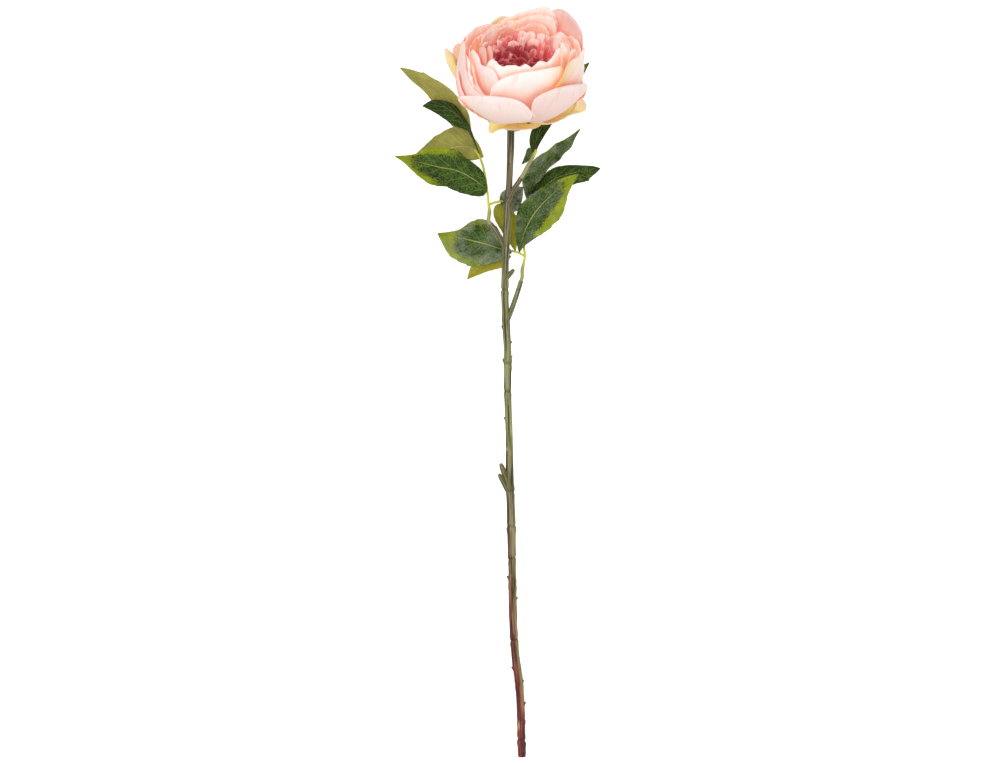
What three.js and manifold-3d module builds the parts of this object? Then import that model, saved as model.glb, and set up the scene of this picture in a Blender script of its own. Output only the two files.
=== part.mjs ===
// A long-stemmed peony, cut and laid down on a surface: one stem with three side
// branches, thirteen leaf blades and a single open, cup-shaped bloom.
//
// Millimetres, +Z up. The stem lies along Y with the bloom at +Y, and the surface is
// the plane z = 0. The bloom nods up from the surface, and rests on its two lowest
// petals; the stem slopes down from it to its cut end.

import * as THREE from 'three';
import { mergeVertices } from 'three/addons/utils/BufferGeometryUtils.js';
import Module from 'manifold-3d';

const wasm = await Module();
wasm.setup();

// ---------------------------------------------------------------- driving dimensions

const OVERALL_LENGTH = 640;      // cut end to the furthest petal
const BLOOM_TILT = 35;           // degrees that the bloom's axis rises from the surface
const BLOOM_LEAN = 7;            // degrees that it leans towards +X
const STEM_RADIUS = 3.5;         // at the lower end
const NECK_RADIUS = 2.8;         // just under the bloom
const BRANCH_RADIUS = 2;
const SLEEVE_RADIUS = 1.8;
const PETIOLE_RADIUS = 1.15;
const LEAF_THICKNESS = 0.8;
const PETAL_THICKNESS = 0.8;
const SMALL_PETAL_THICKNESS = 0.9;
const GAP = 0.3;                 // left between pieces that touch

// The flat outlines below are given as pixels of the picture that the flower was
// measured on. They become millimetres here, with the picture's up as +Y.
const PICTURE_SPAN = 753;        // pixels that the overall length covers
const PICTURE_X = 497;           // pixel column at x = 0
const PICTURE_Y = 381.5;         // pixel row at y = 0
const MM_PER_PIXEL = OVERALL_LENGTH / PICTURE_SPAN;

const at = (column, row, z) => new THREE.Vector3(
  (column - PICTURE_X) * MM_PER_PIXEL, (PICTURE_Y - row) * MM_PER_PIXEL, z);

// -------------------------------------------------------------------------- materials

const finish = (name, color, roughness) => {
  const material = new THREE.MeshStandardMaterial({ color, roughness, metalness: 0 });
  material.name = name;
  return material;
};

const materials = {
  stem: finish('stem', 0x6b6f4c, 0.55),
  petiole: finish('petiole', 0xd6d552, 0.5),
  calyx: finish('calyx', 0x6f8a3c, 0.6),
  leaf: finish('leaf', 0x35542c, 0.6),
  leafBack: finish('leaf_back', 0x94943f, 0.75),
  guard: finish('guard_petal', 0xe8c877, 0.8),
  blush: finish('blush_petal', 0xf7d9cf, 0.8),
  ruffle: finish('ruffle_petal', 0xeda79c, 0.8),
  heart: finish('heart_petal', 0xa13a4c, 0.8),
};

// ------------------------------------------------------------------- solids and joins

// A closed mesh as a solid, with its shared corners merged.
function solid(geometry) {
  const bare = geometry.clone();
  for (const name of Object.keys(bare.attributes)) {
    if (name !== 'position') bare.deleteAttribute(name);
  }
  const merged = mergeVertices(bare, 1e-4);
  return new wasm.Manifold(new wasm.Mesh({
    numProp: 3,
    vertProperties: Float32Array.from(merged.attributes.position.array),
    triVerts: Uint32Array.from(merged.index.array),
  }));
}

// The join of several geometries. Loose scraps are dropped and sealed hollows filled.
function joined(geometries) {
  const whole = geometries.map(solid).reduce((sum, next) => sum.add(next));
  const shells = whole.decompose();
  const largest = shells.reduce((a, b) => (b.volume() > a.volume() ? b : a));
  const { vertProperties, triVerts } = largest.getMesh();
  const geometry = new THREE.BufferGeometry();
  geometry.setAttribute('position', new THREE.BufferAttribute(vertProperties, 3));
  geometry.setIndex(new THREE.BufferAttribute(triVerts, 1));
  return geometry;
}

// A closed sheet through a grid of points, grid[row][column], given its thickness
// along the normals. Each square is split by the same diagonal on both faces.
function sheet(grid, thickness) {
  const rows = grid.length;
  const columns = grid[0].length;
  const along = new THREE.Vector3();
  const across = new THREE.Vector3();
  const positions = [];
  for (const side of [1, -1]) {
    for (let i = 0; i < rows; i += 1) {
      for (let j = 0; j < columns; j += 1) {
        along.subVectors(grid[Math.min(i + 1, rows - 1)][j], grid[Math.max(i - 1, 0)][j]);
        across.subVectors(
          grid[i][Math.min(j + 1, columns - 1)], grid[i][Math.max(j - 1, 0)]);
        const normal = across.clone().cross(along).normalize();
        const point = grid[i][j].clone().addScaledVector(normal, side * thickness / 2);
        positions.push(point.x, point.y, point.z);
      }
    }
  }
  const front = (i, j) => i * columns + j;
  const back = (i, j) => rows * columns + i * columns + j;
  const faces = [];
  for (let i = 0; i + 1 < rows; i += 1) {
    for (let j = 0; j + 1 < columns; j += 1) {
      faces.push(front(i, j), front(i, j + 1), front(i + 1, j + 1));
      faces.push(front(i, j), front(i + 1, j + 1), front(i + 1, j));
      faces.push(back(i, j), back(i + 1, j + 1), back(i, j + 1));
      faces.push(back(i, j), back(i + 1, j), back(i + 1, j + 1));
    }
  }
  const rim = [];
  for (let j = 0; j < columns - 1; j += 1) rim.push([0, j]);
  for (let i = 0; i < rows - 1; i += 1) rim.push([i, columns - 1]);
  for (let j = columns - 1; j > 0; j -= 1) rim.push([rows - 1, j]);
  for (let i = rows - 1; i > 0; i -= 1) rim.push([i, 0]);
  rim.forEach(([i, j], k) => {
    const [m, n] = rim[(k + 1) % rim.length];
    faces.push(front(i, j), back(i, j), back(m, n));
    faces.push(front(i, j), back(m, n), front(m, n));
  });
  const geometry = new THREE.BufferGeometry();
  geometry.setAttribute('position', new THREE.Float32BufferAttribute(positions, 3));
  geometry.setIndex(faces);
  return geometry;
}

// A round rod along a curve: a cylinder whose rings are moved onto the curve, with
// a radius for each share of its length.
function rod(curve, radiusAt, steps, sides) {
  const geometry = new THREE.CylinderGeometry(1, 1, 1, sides, steps);
  const frames = curve.computeFrenetFrames(steps, false);
  const position = geometry.attributes.position;
  for (let k = 0; k < position.count; k += 1) {
    const station = Math.round((position.getY(k) + 0.5) * steps);
    const share = station / steps;
    const radius = radiusAt(share);
    const point = curve.getPointAt(share)
      .addScaledVector(frames.normals[station], position.getX(k) * radius)
      .addScaledVector(frames.binormals[station], -position.getZ(k) * radius);
    position.setXYZ(k, point.x, point.y, point.z);
  }
  return geometry;
}

const through = (points) => new THREE.CatmullRomCurve3(points, false, 'centripetal');

// ------------------------------------------------------------------------------ bloom

// The bloom is built round its own axis, +Z in its group: angle 0 faces the front and
// 90 the flower's right. The group tips that axis towards +Y and leans it to +X.

const BLOOM_CENTRE = [513, 118];
const BLOOM_HEIGHT = 33.3;       // of its lowest point on the axis, above the surface

const bloom = new THREE.Group();
bloom.rotation.set(
  -THREE.MathUtils.degToRad(90 - BLOOM_TILT), THREE.MathUtils.degToRad(BLOOM_LEAN), 0);
bloom.position.copy(at(...BLOOM_CENTRE, BLOOM_HEIGHT));
bloom.updateMatrixWorld(true);

// The petals underneath lie flat where they meet the surface.
const up = new THREE.Vector3(0, 0, 1).applyQuaternion(bloom.quaternion.clone().invert());

function onSurface(point, thickness) {
  const height = BLOOM_HEIGHT + up.dot(point);
  return height < thickness / 2 ? point.addScaledVector(up, thickness / 2 - height) : point;
}

const RIM_ROUNDING = 0.17;       // how far a petal's corners fall back from its tip
const ROOT_WIDTH = 0.2;          // of a petal's full half width
const WIDEST_AT = 0.62;          // share of the length where a petal is widest
const TIP_WIDTH = 0.8;

const smooth = (x) => x * x * (3 - 2 * x);

function petalWidth(share, tipWidth) {
  if (share < WIDEST_AT) {
    return ROOT_WIDTH + (1 - ROOT_WIDTH) * Math.sin(Math.PI / 2 * share / WIDEST_AT);
  }
  return 1 - (1 - tipWidth) * smooth((share - WIDEST_AT) / (1 - WIDEST_AT));
}

// One petal, from its root up its bulge to its tip, wrapped round the axis. tuck
// sets one side out and the other in, so that neighbours overlap without crossing;
// wave ripples the rim.
function petal(p, thickness) {
  const profile = new THREE.CubicBezierCurve(
    new THREE.Vector2(p.rootR, p.rootH),
    new THREE.Vector2(p.bulge * p.flare, p.rootH + (p.drop ?? 0)),
    new THREE.Vector2(p.bulge * 1.06, p.rootH + (p.tipH - p.rootH) * 0.5),
    new THREE.Vector2(p.tipR, p.tipH));
  const grid = [];
  for (let i = 0; i <= p.rows; i += 1) {
    const row = [];
    for (let j = 0; j <= p.columns; j += 1) {
      const share = i / p.rows;
      const side = 2 * j / p.columns - 1;
      const height = share * (1 - p.rounding * side * side * share);
      const { x: radius, y: rise } = profile.getPoint(height);
      const wrap = p.half * petalWidth(share, p.tipWidth) * side / Math.max(radius, p.half * 0.6);
      const wave = (p.wave ?? 0) * share * share * Math.sin(3 * Math.PI * side + p.angle);
      const reach = radius + p.tuck * side * share + wave;
      const turn = THREE.MathUtils.degToRad(p.angle) + wrap;
      row.push(onSurface(new THREE.Vector3(
        reach * Math.sin(turn), -reach * Math.cos(turn), rise), thickness));
    }
    grid.push(row);
  }
  return sheet(grid, thickness);
}

// Each list row: angle, bulge, radius and height of the tip, half width, how soon the
// petal flares out from its root, and how far its corners fall back, if unlike the rest.
const GUARD_PETALS = [
  [-90, 57, 68, 65, 18, 0.75],
  [-38, 53, 58, 35, 28, 0.45],
  [12, 51, 55, 30, 28, 0.45],
  [55, 54, 61, 39, 25, 0.45],
  [106, 55, 56, 40, 24, 0.8],
  [161, 62, 58, 60, 27, 0.98],
  [-150, 62, 56, 62, 28, 0.98],
];
const OUTER_PETALS = [
  [-36, 50, 53, 52, 54, 0.6, 0.36],
  [52, 51, 61, 59, 37, 0.6, 0.28],
  [92, 51, 52, 70, 24, 0.75],
  [132, 54, 55, 90, 31, 0.8],
  [166, 52, 51, 83, 30, 0.8],
  [-145, 51, 49, 73, 31, 0.8],
  [-90, 52, 51, 71, 26, 0.75],
];
const CUP_PETALS = [
  [17, 46.5, 45, 78, 38, 0.65],
  [68, 44, 44, 70, 22, 0.7],
  [108, 45, 43, 78, 24, 0.75],
  [154, 45, 42, 84, 28, 0.75],
  [-155, 45, 40, 80, 27, 0.75],
  [-106, 45, 41, 73, 25, 0.75],
  [-58, 45, 43, 79, 28, 0.7],
];
const INNER_PETALS = [
  [0, 38, 35, 80, 24, 0.7],
  [50, 38, 35, 80, 23, 0.7],
  [101, 38, 35, 76, 22, 0.7],
  [152, 38, 34, 80, 22, 0.7],
  [-156, 38, 33, 80, 22, 0.7],
  [-104, 38, 33, 75, 22, 0.7],
  [-51, 38, 34, 78, 23, 0.7],
];

const LARGE_PETAL = { rows: 4, columns: 5, tipWidth: TIP_WIDTH };
const asPetal = ([angle, bulge, tipR, tipH, half, flare, rounding = RIM_ROUNDING], more) => (
  { angle, bulge, tipR, tipH, half, flare, rounding, ...LARGE_PETAL, ...more });

// The cores are stacked along the axis, each a gap above the one below.
const CALYX = { bottom: -11, top: -2, radius: 9 };
const GUARD_CORE = { bottom: CALYX.top + GAP, top: 3, radius: 14 };
const BLUSH_CORE = { bottom: GUARD_CORE.top + GAP, top: 24, radius: 17 };
const RUFFLE_CORE = { bottom: BLUSH_CORE.top + GAP, top: 34, radius: 12 };
const HEART_CORE = { bottom: RUFFLE_CORE.top + GAP, top: 43, radius: 8 };

// A turned core: a short drum with eased edges.
function core({ bottom, top, radius }, sides = 16) {
  const ease = Math.min(2, (top - bottom) / 3);
  const profile = [
    [0, bottom], [radius - ease, bottom], [radius, bottom + ease],
    [radius, top - ease], [radius - ease, top], [0, top],
  ].map(([r, h]) => new THREE.Vector2(r, h));
  return new THREE.LatheGeometry(profile, sides).rotateX(Math.PI / 2);
}

function guardPetals() {
  return joined([core(GUARD_CORE), ...GUARD_PETALS.map((row) => petal(
    asPetal(row, { rootR: 8, rootH: 0.5, tuck: 2 }), PETAL_THICKNESS))]);
}

function blushPetals() {
  const ring = (rows, rootR, rootH, more) => rows.map((row) => petal(
    asPetal(row, { rootR, rootH, tuck: 2, ...more }), PETAL_THICKNESS));
  return joined([
    core(BLUSH_CORE),
    ...ring(OUTER_PETALS, 12, 6),
    ...ring(CUP_PETALS, 12, 11),
    ...ring(INNER_PETALS, 12, 16, { rows: 3, columns: 4, tuck: 1.5, wave: 0.8 }),
  ]);
}

const SMALL_PETAL = { rows: 2, columns: 3, tipWidth: 1, rounding: 0.2 };

// Small upright petals in rings: count, radius and height of the tips, half width.
function rings(rows, { rootR, rootH, tuck }) {
  const petals = [];
  for (const [count, tipR, tipH, half, turn] of rows) {
    for (let k = 0; k < count; k += 1) {
      const nod = 1 + 0.05 * Math.sin(2.4 * k + turn);
      petals.push(petal({
        angle: turn + 360 * k / count, bulge: tipR + 2, tipR, tipH: tipH * nod, half,
        flare: 0.6, rootR, rootH, tuck, ...SMALL_PETAL,
      }, SMALL_PETAL_THICKNESS));
    }
  }
  return petals;
}

const RUFFLE_RINGS = [
  [11, 29, 73, 8.5, 0],
  [9, 23.5, 67, 7.5, 15],
];
const HEART_RINGS = [
  [8, 18, 61, 6.5, 10],
  [5, 10.5, 58, 5.5, 30],
  [2, 4, 56, 3.5, 0],
];

function rufflePetals() {
  return joined([core(RUFFLE_CORE, 12), ...rings(
    RUFFLE_RINGS, { rootR: 8, rootH: 28, tuck: 1 })]);
}

function heartPetals() {
  return joined([core(HEART_CORE, 10), ...rings(
    HEART_RINGS, { rootR: 4, rootH: 38, tuck: 0.8 })]);
}

// The calyx is a green cup with five sepals pressed under the guard petals. drop lets
// a petal's profile sink from its root.
function calyx() {
  const sepals = [];
  for (let k = 0; k < 5; k += 1) {
    sepals.push(petal({
      angle: 20 + 72 * k, bulge: 20, tipR: 23, tipH: -1, half: 9, rootR: 6, rootH: -6,
      drop: -1, flare: 1, tuck: 0, rows: 4, columns: 3, tipWidth: 0.3, rounding: 0.3,
    }, PETAL_THICKNESS));
  }
  return joined([core(CALYX, 12), ...sepals]);
}

function part(name, geometry, material) {
  const mesh = new THREE.Mesh(geometry, material.clone());
  mesh.name = name;
  return mesh;
}

bloom.add(part('calyx', calyx(), materials.calyx));
bloom.add(part('guard_petals', guardPetals(), materials.guard));
bloom.add(part('blush_petals', blushPetals(), materials.blush));
bloom.add(part('ruffle_petals', rufflePetals(), materials.ruffle));
bloom.add(part('heart_petals', heartPetals(), materials.heart));

// ------------------------------------------------------------------------------- stem

const STEM_FOOT = 521.5;         // picture column of the cut end
const CUT_END_ROW = 757.5;
const CUT_END_Z = 3.55;           // lays the cut end on the surface
const STEM_ARCH = 4;             // how far its middle bows up
const neck = bloom.localToWorld(new THREE.Vector3(0, 0, CALYX.bottom - GAP));
const bend = bloom.localToWorld(new THREE.Vector3(0, 0, CALYX.bottom - 7));
const rowOf = (point) => PICTURE_Y - point.y / MM_PER_PIXEL;

// The stem's height above the surface falls from the bloom to the cut end, in an arch.
function stemZ(row) {
  const share = (row - rowOf(neck)) / (CUT_END_ROW - rowOf(neck));
  return neck.z + (CUT_END_Z - neck.z) * share + STEM_ARCH * Math.sin(Math.PI * share ** 0.6);
}

// Column of the stem's middle at some rows, from the bloom down.
const STEM_ROUTE = [
  [510.6, 150], [508.8, 195], [506.2, 240], [505, 290], [506, 325],
  [507.6, 356], [507.6, 390], [509.2, 436], [510.2, 484], [511.3, 530], [512.3, 575],
  [513.3, 618], [515.3, 655], [518.8, 684], [520.8, 712], [STEM_FOOT, 740],
];

// Rings where the moulded stem has its nodes: row and how far each stands out.
const STEM_RINGS = [
  [198, 0.5], [289, 0.6], [391, 0.6], [488, 0.8], [527, 0.5], [560, 0.6], [639, 0.7],
  [719, 0.7], [740, -0.5],
];
const RING_HALF_HEIGHT = 4;      // pixels
const CUT_KNOB_ROW = 742;        // below it the cut end swells a little

function stemRadius(row) {
  const share = (row - rowOf(neck)) / (CUT_END_ROW - rowOf(neck));
  const plain = NECK_RADIUS + (STEM_RADIUS - NECK_RADIUS) * Math.min(1, 1.3 * share);
  return STEM_RINGS.reduce((radius, [ring, out]) => {
    const off = Math.abs(row - ring) / RING_HALF_HEIGHT;
    return off < 1 ? radius + out * (1 - smooth(off)) : radius;
  }, row > CUT_KNOB_ROW ? plain + 0.3 : plain);
}

// Snags and buds along the stem: root row, tip column, tip row, root and tip radius.
const STEM_SNAGS = [
  [280, 514, 269.5, 2.3, 1.9],
  [333, 501.6, 325.5, 1.8, 1.1],
  [347, 512.2, 341, 1.6, 0.9],
  [362, 512.4, 356, 1.6, 0.9],
  [366, 502.6, 359, 2.0, 1.1],
  [424, 504.0, 417, 1.8, 1.0],
  [488, 500.5, 463.5, 2.4, 1.9],
  [494, 498.8, 474, 2.4, 1.7],
  [584, 507.0, 576, 1.8, 1.0],
  [604, 517.6, 597, 1.8, 1.0],
  [674, 511.6, 667, 1.8, 1.0],
  [688, 523.6, 680, 1.8, 1.0],
  [709, 525.6, 702, 1.8, 1.0],
];

function stemColumn(row) {
  const k = STEM_ROUTE.findIndex(([, r]) => r >= row);
  const [c0, r0] = STEM_ROUTE[k - 1];
  const [c1, r1] = STEM_ROUTE[k];
  return c0 + (c1 - c0) * (row - r0) / (r1 - r0);
}

function snag([rootRow, column, row, rootRadius, tipRadius]) {
  const curve = new THREE.LineCurve3(
    at(stemColumn(rootRow), rootRow, stemZ(rootRow)), at(column, row, stemZ(row) + 0.6));
  return rod(curve, (share) => rootRadius + (tipRadius - rootRadius) * share, 2, 5);
}

// Where each branch leaves the stem and where its brown stub ends: column, row, height.
const LEFT_STUB = [[504.6, 248, 26], [499, 236, 27.4], [490.8, 224, 28]];
const LOWER_RIGHT_STUB = [[506.5, 322, 23], [514, 303, 23.6], [521, 281, 24]];
const UPPER_RIGHT_STUB = [[508, 202, 30], [513, 191, 31], [521, 178, 31.5]];

const route3 = (points) => through(points.map(([c, r, z]) => at(c, r, z)));

function stem() {
  const points = [neck, bend, ...STEM_ROUTE.map(([c, r]) => at(c, r, stemZ(r))),
    at(STEM_FOOT + 0.5, CUT_END_ROW, CUT_END_Z)];
  const curve = through(points);
  const rowAt = (share) => rowOf(curve.getPointAt(share));
  const rodSteps = 72;
  const main = rod(curve, (share) => stemRadius(rowAt(share)), rodSteps, 7);
  const stubs = [LEFT_STUB, LOWER_RIGHT_STUB, UPPER_RIGHT_STUB].map((points_) => rod(
    route3(points_), (share) => BRANCH_RADIUS * (1.15 - 0.15 * share), 4, 7));
  return joined([main, ...stubs, ...STEM_SNAGS.map(snag)]);
}

// -------------------------------------------------------------------------- petioles

// Each spray's pale sleeve plugs on the stub's end and narrows to a yellow petiole,
// which forks to its leaves. Routes: column, row, height.
const SLEEVE_SHARE = 0.2;
const SLEEVE_TAPER = 6;          // mm of radius lost over a whole petiole

const sleeved = (share) => THREE.MathUtils.clamp(
  SLEEVE_RADIUS - SLEEVE_TAPER * (share - SLEEVE_SHARE), PETIOLE_RADIUS, SLEEVE_RADIUS);
const slender = () => PETIOLE_RADIUS;

const LEFT_PETIOLE = [
  [489.4, 212, 28.2], [488.6, 204, 27.8], [487.6, 194, 26.8],
  [485.4, 178, 23.8], [483, 166, 21], [479.5, 157, 19], [475, 149.5, 18],
];
const LEFT_SIDE_PETIOLE = [[488.7, 205, 27.8], [495, 202.4, 24.5], [503, 201, 21.5]];
const LOWER_RIGHT_PETIOLE = [
  [522.3, 270, 24], [524, 262, 23.6], [525, 256, 23],
  [524.2, 247, 21.4], [526, 226, 17.5], [528, 202, 16],
];
const LOWER_RIGHT_SIDE_PETIOLE = [[525, 256.5, 23], [520, 253.4, 21.6], [511.5, 250.6, 20]];
const UPPER_RIGHT_PETIOLE = [
  [527, 167, 31], [533, 157, 29.2], [536.2, 150, 27.2],
];

// A petiole's route starts a gap beyond the end of the stub that it plugs on, and
// leaves it straight.
const PLUG_LENGTH = 3;

function plugged(stub, route) {
  const seat = route3(stub);
  const beyond = (distance) => seat.getPoint(1).addScaledVector(seat.getTangent(1), distance);
  return through([beyond(GAP), beyond(GAP + PLUG_LENGTH), ...route.map((point) => at(...point))]);
}

const leftPetiole = () => joined([
  rod(plugged(LEFT_STUB, LEFT_PETIOLE), sleeved, 16, 7),
  rod(route3(LEFT_SIDE_PETIOLE), slender, 5, 7)]);
const lowerRightPetiole = () => joined([
  rod(plugged(LOWER_RIGHT_STUB, LOWER_RIGHT_PETIOLE), sleeved, 16, 7),
  rod(route3(LOWER_RIGHT_SIDE_PETIOLE), slender, 5, 7)]);
const upperRightPetiole = () => rod(
  plugged(UPPER_RIGHT_STUB, UPPER_RIGHT_PETIOLE), (share) => SLEEVE_RADIUS - 0.5 * share, 6, 7);

// ----------------------------------------------------------------------------- leaves

// A blade's two edges and its rib run from base to tip, as picture columns and rows.
// z gives the heights of the base and the tip; bow lifts the middle of its length and
// fold lifts its edges above the rib.
const LEAVES = [
  {
    name: 'leaf_left_top', back: true, base: [474.2, 149.2], tip: [399, 67], z: [15.9, 7],
    bow: 2, fold: 3,
    upper: [[471, 129], [468, 113], [457, 96.5], [448, 87.5], [440, 82], [423, 72]],
    rib: [[467, 131], [453, 111], [440, 95], [424, 81]],
    lower: [[463, 137], [447, 120], [431, 99.5], [423, 90], [411, 80]],
  },
  {
    name: 'leaf_left_dark', base: [479.3, 154], tip: [422, 106], z: [20.5, 23],
    bow: 3, fold: -4,
    upper: [[470, 128], [462, 114], [455, 105.6], [444, 100.7], [432, 100.4]],
    rib: [[469, 129.5], [458, 116], [446, 108], [434, 105]],
    lower: [[468, 131], [455, 126], [444, 118.5], [434, 112]],
  },
  {
    name: 'leaf_left_middle', back: true, base: [484, 157], tip: [408, 161],
    z: [18.4, 7], bow: -5, fold: 1.5,
    upper: [[478, 143], [455, 126.5], [436, 135.5], [424, 148]],
    rib: [[470, 147], [450, 148], [432, 153]],
    lower: [[474, 160], [460, 160], [442, 166], [424, 166]],
  },
  {
    name: 'leaf_left_front', base: [487.6, 190], tip: [394, 156], z: [28.3, 21],
    bow: 3, fold: 2.5,
    upper: [[485, 176], [479.5, 168], [465, 157], [455.5, 150], [438.5, 148],
      [425.5, 148.5], [415, 154]],
    rib: [[474, 179.5], [458, 171], [438.5, 167], [416, 161.5]],
    lower: [[483, 196], [471, 195.5], [455, 191], [447, 187], [432, 185], [422, 179],
      [412.5, 171], [403, 162]],
  },
  {
    name: 'leaf_low_left', base: [512.5, 252.5], tip: [437, 233], z: [18, 8],
    bow: 2, fold: 3,
    upper: [[503, 238], [495, 225], [486, 219.5], [473, 220.7], [460, 229],
      [451, 231.5]],
    rib: [[501, 249], [489, 245], [472, 240.5], [454, 236.5]],
    lower: [[502, 259], [481, 266], [470, 266], [456, 260], [449, 255], [443, 245]],
  },
  {
    name: 'leaf_low_bottom', back: true, base: [511.5, 256], tip: [466.6, 279.7],
    z: [17.3, 4], bow: 0, fold: 1.5,
    upper: [[500, 251], [485, 255], [472, 265]],
    rib: [[500, 260], [487, 264.5], [475, 272.5]],
    lower: [[503, 267], [496, 269], [487, 271.5], [478, 275]],
  },
  {
    name: 'leaf_low_curled', back: true, base: [515.5, 251.5], tip: [498, 203.5],
    z: [18.9, 16.6], bow: -2, fold: -2,
    upper: [[503, 233], [496.5, 222], [493.5, 214], [494.5, 207]],
    rib: [[510, 236], [505, 220], [501, 210]],
    lower: [[518, 238], [517.5, 220], [512, 210], [504, 204]],
  },
  {
    name: 'leaf_right_front', base: [519, 253.2], tip: [579, 173.6], z: [23.1, 27],
    bow: 6, fold: 3,
    upper: [[516.2, 240], [516, 226], [518, 209], [526.5, 199], [536.4, 191],
      [545.6, 186], [558, 180], [568.6, 176]],
    rib: [[523, 236], [532, 217], [545, 201], [562, 186]],
    lower: [[524.6, 246], [539, 236], [547, 231], [554, 224], [561, 217],
      [565.4, 205.5], [568, 194.6], [574, 182]],
  },
  {
    name: 'leaf_behind_stem', base: [499.5, 201], tip: [523, 187], z: [19.7, 19],
    bow: 1, fold: -2,
    upper: [[501, 193.5], [507, 189], [515, 186.5]],
    rib: [[505, 200], [512, 197], [518, 192]],
    lower: [[504, 208], [511, 212], [518, 210], [522, 200]],
  },
  {
    name: 'leaf_right_long', base: [528, 203], tip: [581, 128], z: [17.9, 21],
    bow: 2, fold: 3,
    upper: [[524, 191], [522.8, 179], [533, 161], [542, 154], [548, 150.5],
      [556.3, 143], [568.6, 137]],
    rib: [[530, 188], [539, 173], [550, 160], [564, 147]],
    lower: [[532, 190], [542.5, 177], [549.4, 167.5], [559.4, 160], [564, 153.5],
      [571, 147.5], [574.7, 139]],
  },
  {
    name: 'leaf_behind_bloom', base: [534.6, 155], tip: [590, 61.5], z: [26.3, 4],
    bow: -5, fold: 2,
    upper: [[529.8, 145], [530.5, 134], [537, 120], [552, 94], [572, 71]],
    rib: [[536, 141], [545, 121], [561, 97], [576, 76]],
    lower: [[540, 143], [549, 128.5], [560, 113], [573, 94], [583, 76]],
  },
  {
    name: 'leaflet_small', base: [534, 152.5], tip: [521.5, 164.5], z: [24, 21.5],
    bow: 0, fold: 0.6, small: true,
    upper: [[529, 147.5], [525, 155.5]],
    rib: [[529, 154], [525, 160]],
    lower: [[533, 157], [527, 162]],
  },
  {
    name: 'leaf_right_low', base: [529, 204], tip: [601, 168], z: [14.1, 10],
    bow: 2, fold: -2,
    upper: [[532, 190], [542, 177], [552, 168.6], [561, 166], [572, 165],
      [583, 165.4], [593, 166]],
    rib: [[540, 191], [554, 179], [570, 173.5], [586, 170.5]],
    lower: [[540, 203], [556, 196], [572, 185], [581, 182], [588, 179], [596, 173]],
  },
];

const EDGE_WAVE = 0.5;           // mm, up and down along a blade's edges
const RIB_DIP = 0.35;            // mm
const BLADE_START = 0.01;        // shares of the outline's length, so that neither the
const BLADE_END = 0.985;         // base nor the tip runs out to nothing

function leafBlade(leaf) {
  const flat = ([c, r]) => at(c, r, 0);
  const edge = (points) => through([leaf.base, ...points, leaf.tip].map(flat));
  const [upper, rib, lower] = [edge(leaf.upper), edge(leaf.rib), edge(leaf.lower)];
  const stations = leaf.small ? 5 : 11;
  const half = leaf.small ? 1 : 2;
  const [baseZ, tipZ] = leaf.z;
  const grid = [];
  for (let i = 0; i <= stations; i += 1) {
    const share = BLADE_START + (BLADE_END - BLADE_START) * i / stations;
    const hump = Math.sin(Math.PI * share);
    const row = [];
    for (let j = -half; j <= half; j += 1) {
      const side = j / half;
      const point = rib.getPointAt(share).lerp(
        (j < 0 ? upper : lower).getPointAt(share), Math.abs(side));
      point.z = baseZ + (tipZ - baseZ) * share + leaf.bow * hump
        + leaf.fold * hump * side * side
        + EDGE_WAVE * hump * side * side * Math.sin(9 * share + 2 * side)
        - (j === 0 ? RIB_DIP : 0);
      row.push(point);
    }
    grid.push(row);
  }
  return sheet(grid, LEAF_THICKNESS);
}

// --------------------------------------------------------------------------- assembly

const flower = new THREE.Group();
flower.add(part('stem', stem(), materials.stem));
flower.add(part('petiole_left', leftPetiole(), materials.petiole));
flower.add(part('petiole_lower_right', lowerRightPetiole(), materials.petiole));
flower.add(part('petiole_upper_right', upperRightPetiole(), materials.petiole));
for (const leaf of LEAVES) {
  flower.add(part(leaf.name, leafBlade(leaf), leaf.back ? materials.leafBack : materials.leaf));
}
flower.add(bloom);

export default flower;
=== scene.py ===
import math

import bmesh
import bpy
from mathutils import Matrix, Vector, noise
from mathutils.bvhtree import BVHTree
from mathutils.geometry import interpolate_bezier


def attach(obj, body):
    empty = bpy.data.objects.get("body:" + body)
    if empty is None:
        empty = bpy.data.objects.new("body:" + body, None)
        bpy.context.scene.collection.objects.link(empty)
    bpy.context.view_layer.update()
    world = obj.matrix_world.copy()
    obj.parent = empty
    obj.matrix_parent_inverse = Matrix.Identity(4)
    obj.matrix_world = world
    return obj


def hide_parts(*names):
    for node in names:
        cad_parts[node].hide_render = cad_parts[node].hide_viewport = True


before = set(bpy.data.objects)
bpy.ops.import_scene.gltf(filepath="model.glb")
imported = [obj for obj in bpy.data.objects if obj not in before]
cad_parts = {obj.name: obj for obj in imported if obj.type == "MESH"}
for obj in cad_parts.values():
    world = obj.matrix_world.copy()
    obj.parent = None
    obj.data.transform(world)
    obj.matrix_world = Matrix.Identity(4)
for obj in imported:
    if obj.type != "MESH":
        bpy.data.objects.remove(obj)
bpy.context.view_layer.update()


# ------------------------------------------------------------------------------- stem
# The stem is one moulding of flexible plastic over a wire, olive brown and satin, with
# swollen joints, small buds and cut snags. Its three side stubs are moulded in one with
# it, and it ends in a dark red knob where it was cut.

# Places are columns and rows of the picture that the flower was measured on, with heights
# in millimetres.
PICTURE_SCALE = 0.640 / 753     # metres to a pixel
ORIGIN_COLUMN = 497             # what stands at the frame's origin
ORIGIN_ROW = 381.5


def at(column, row, height=0):
    """A point from the picture's column and row, and its height in millimetres."""
    return Vector(((column - ORIGIN_COLUMN) * PICTURE_SCALE,
                   (ORIGIN_ROW - row) * PICTURE_SCALE, height / 1000))


def row_of(point):
    return ORIGIN_ROW - point.y / PICTURE_SCALE


def column_of(point):
    return ORIGIN_COLUMN + point.x / PICTURE_SCALE


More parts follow.
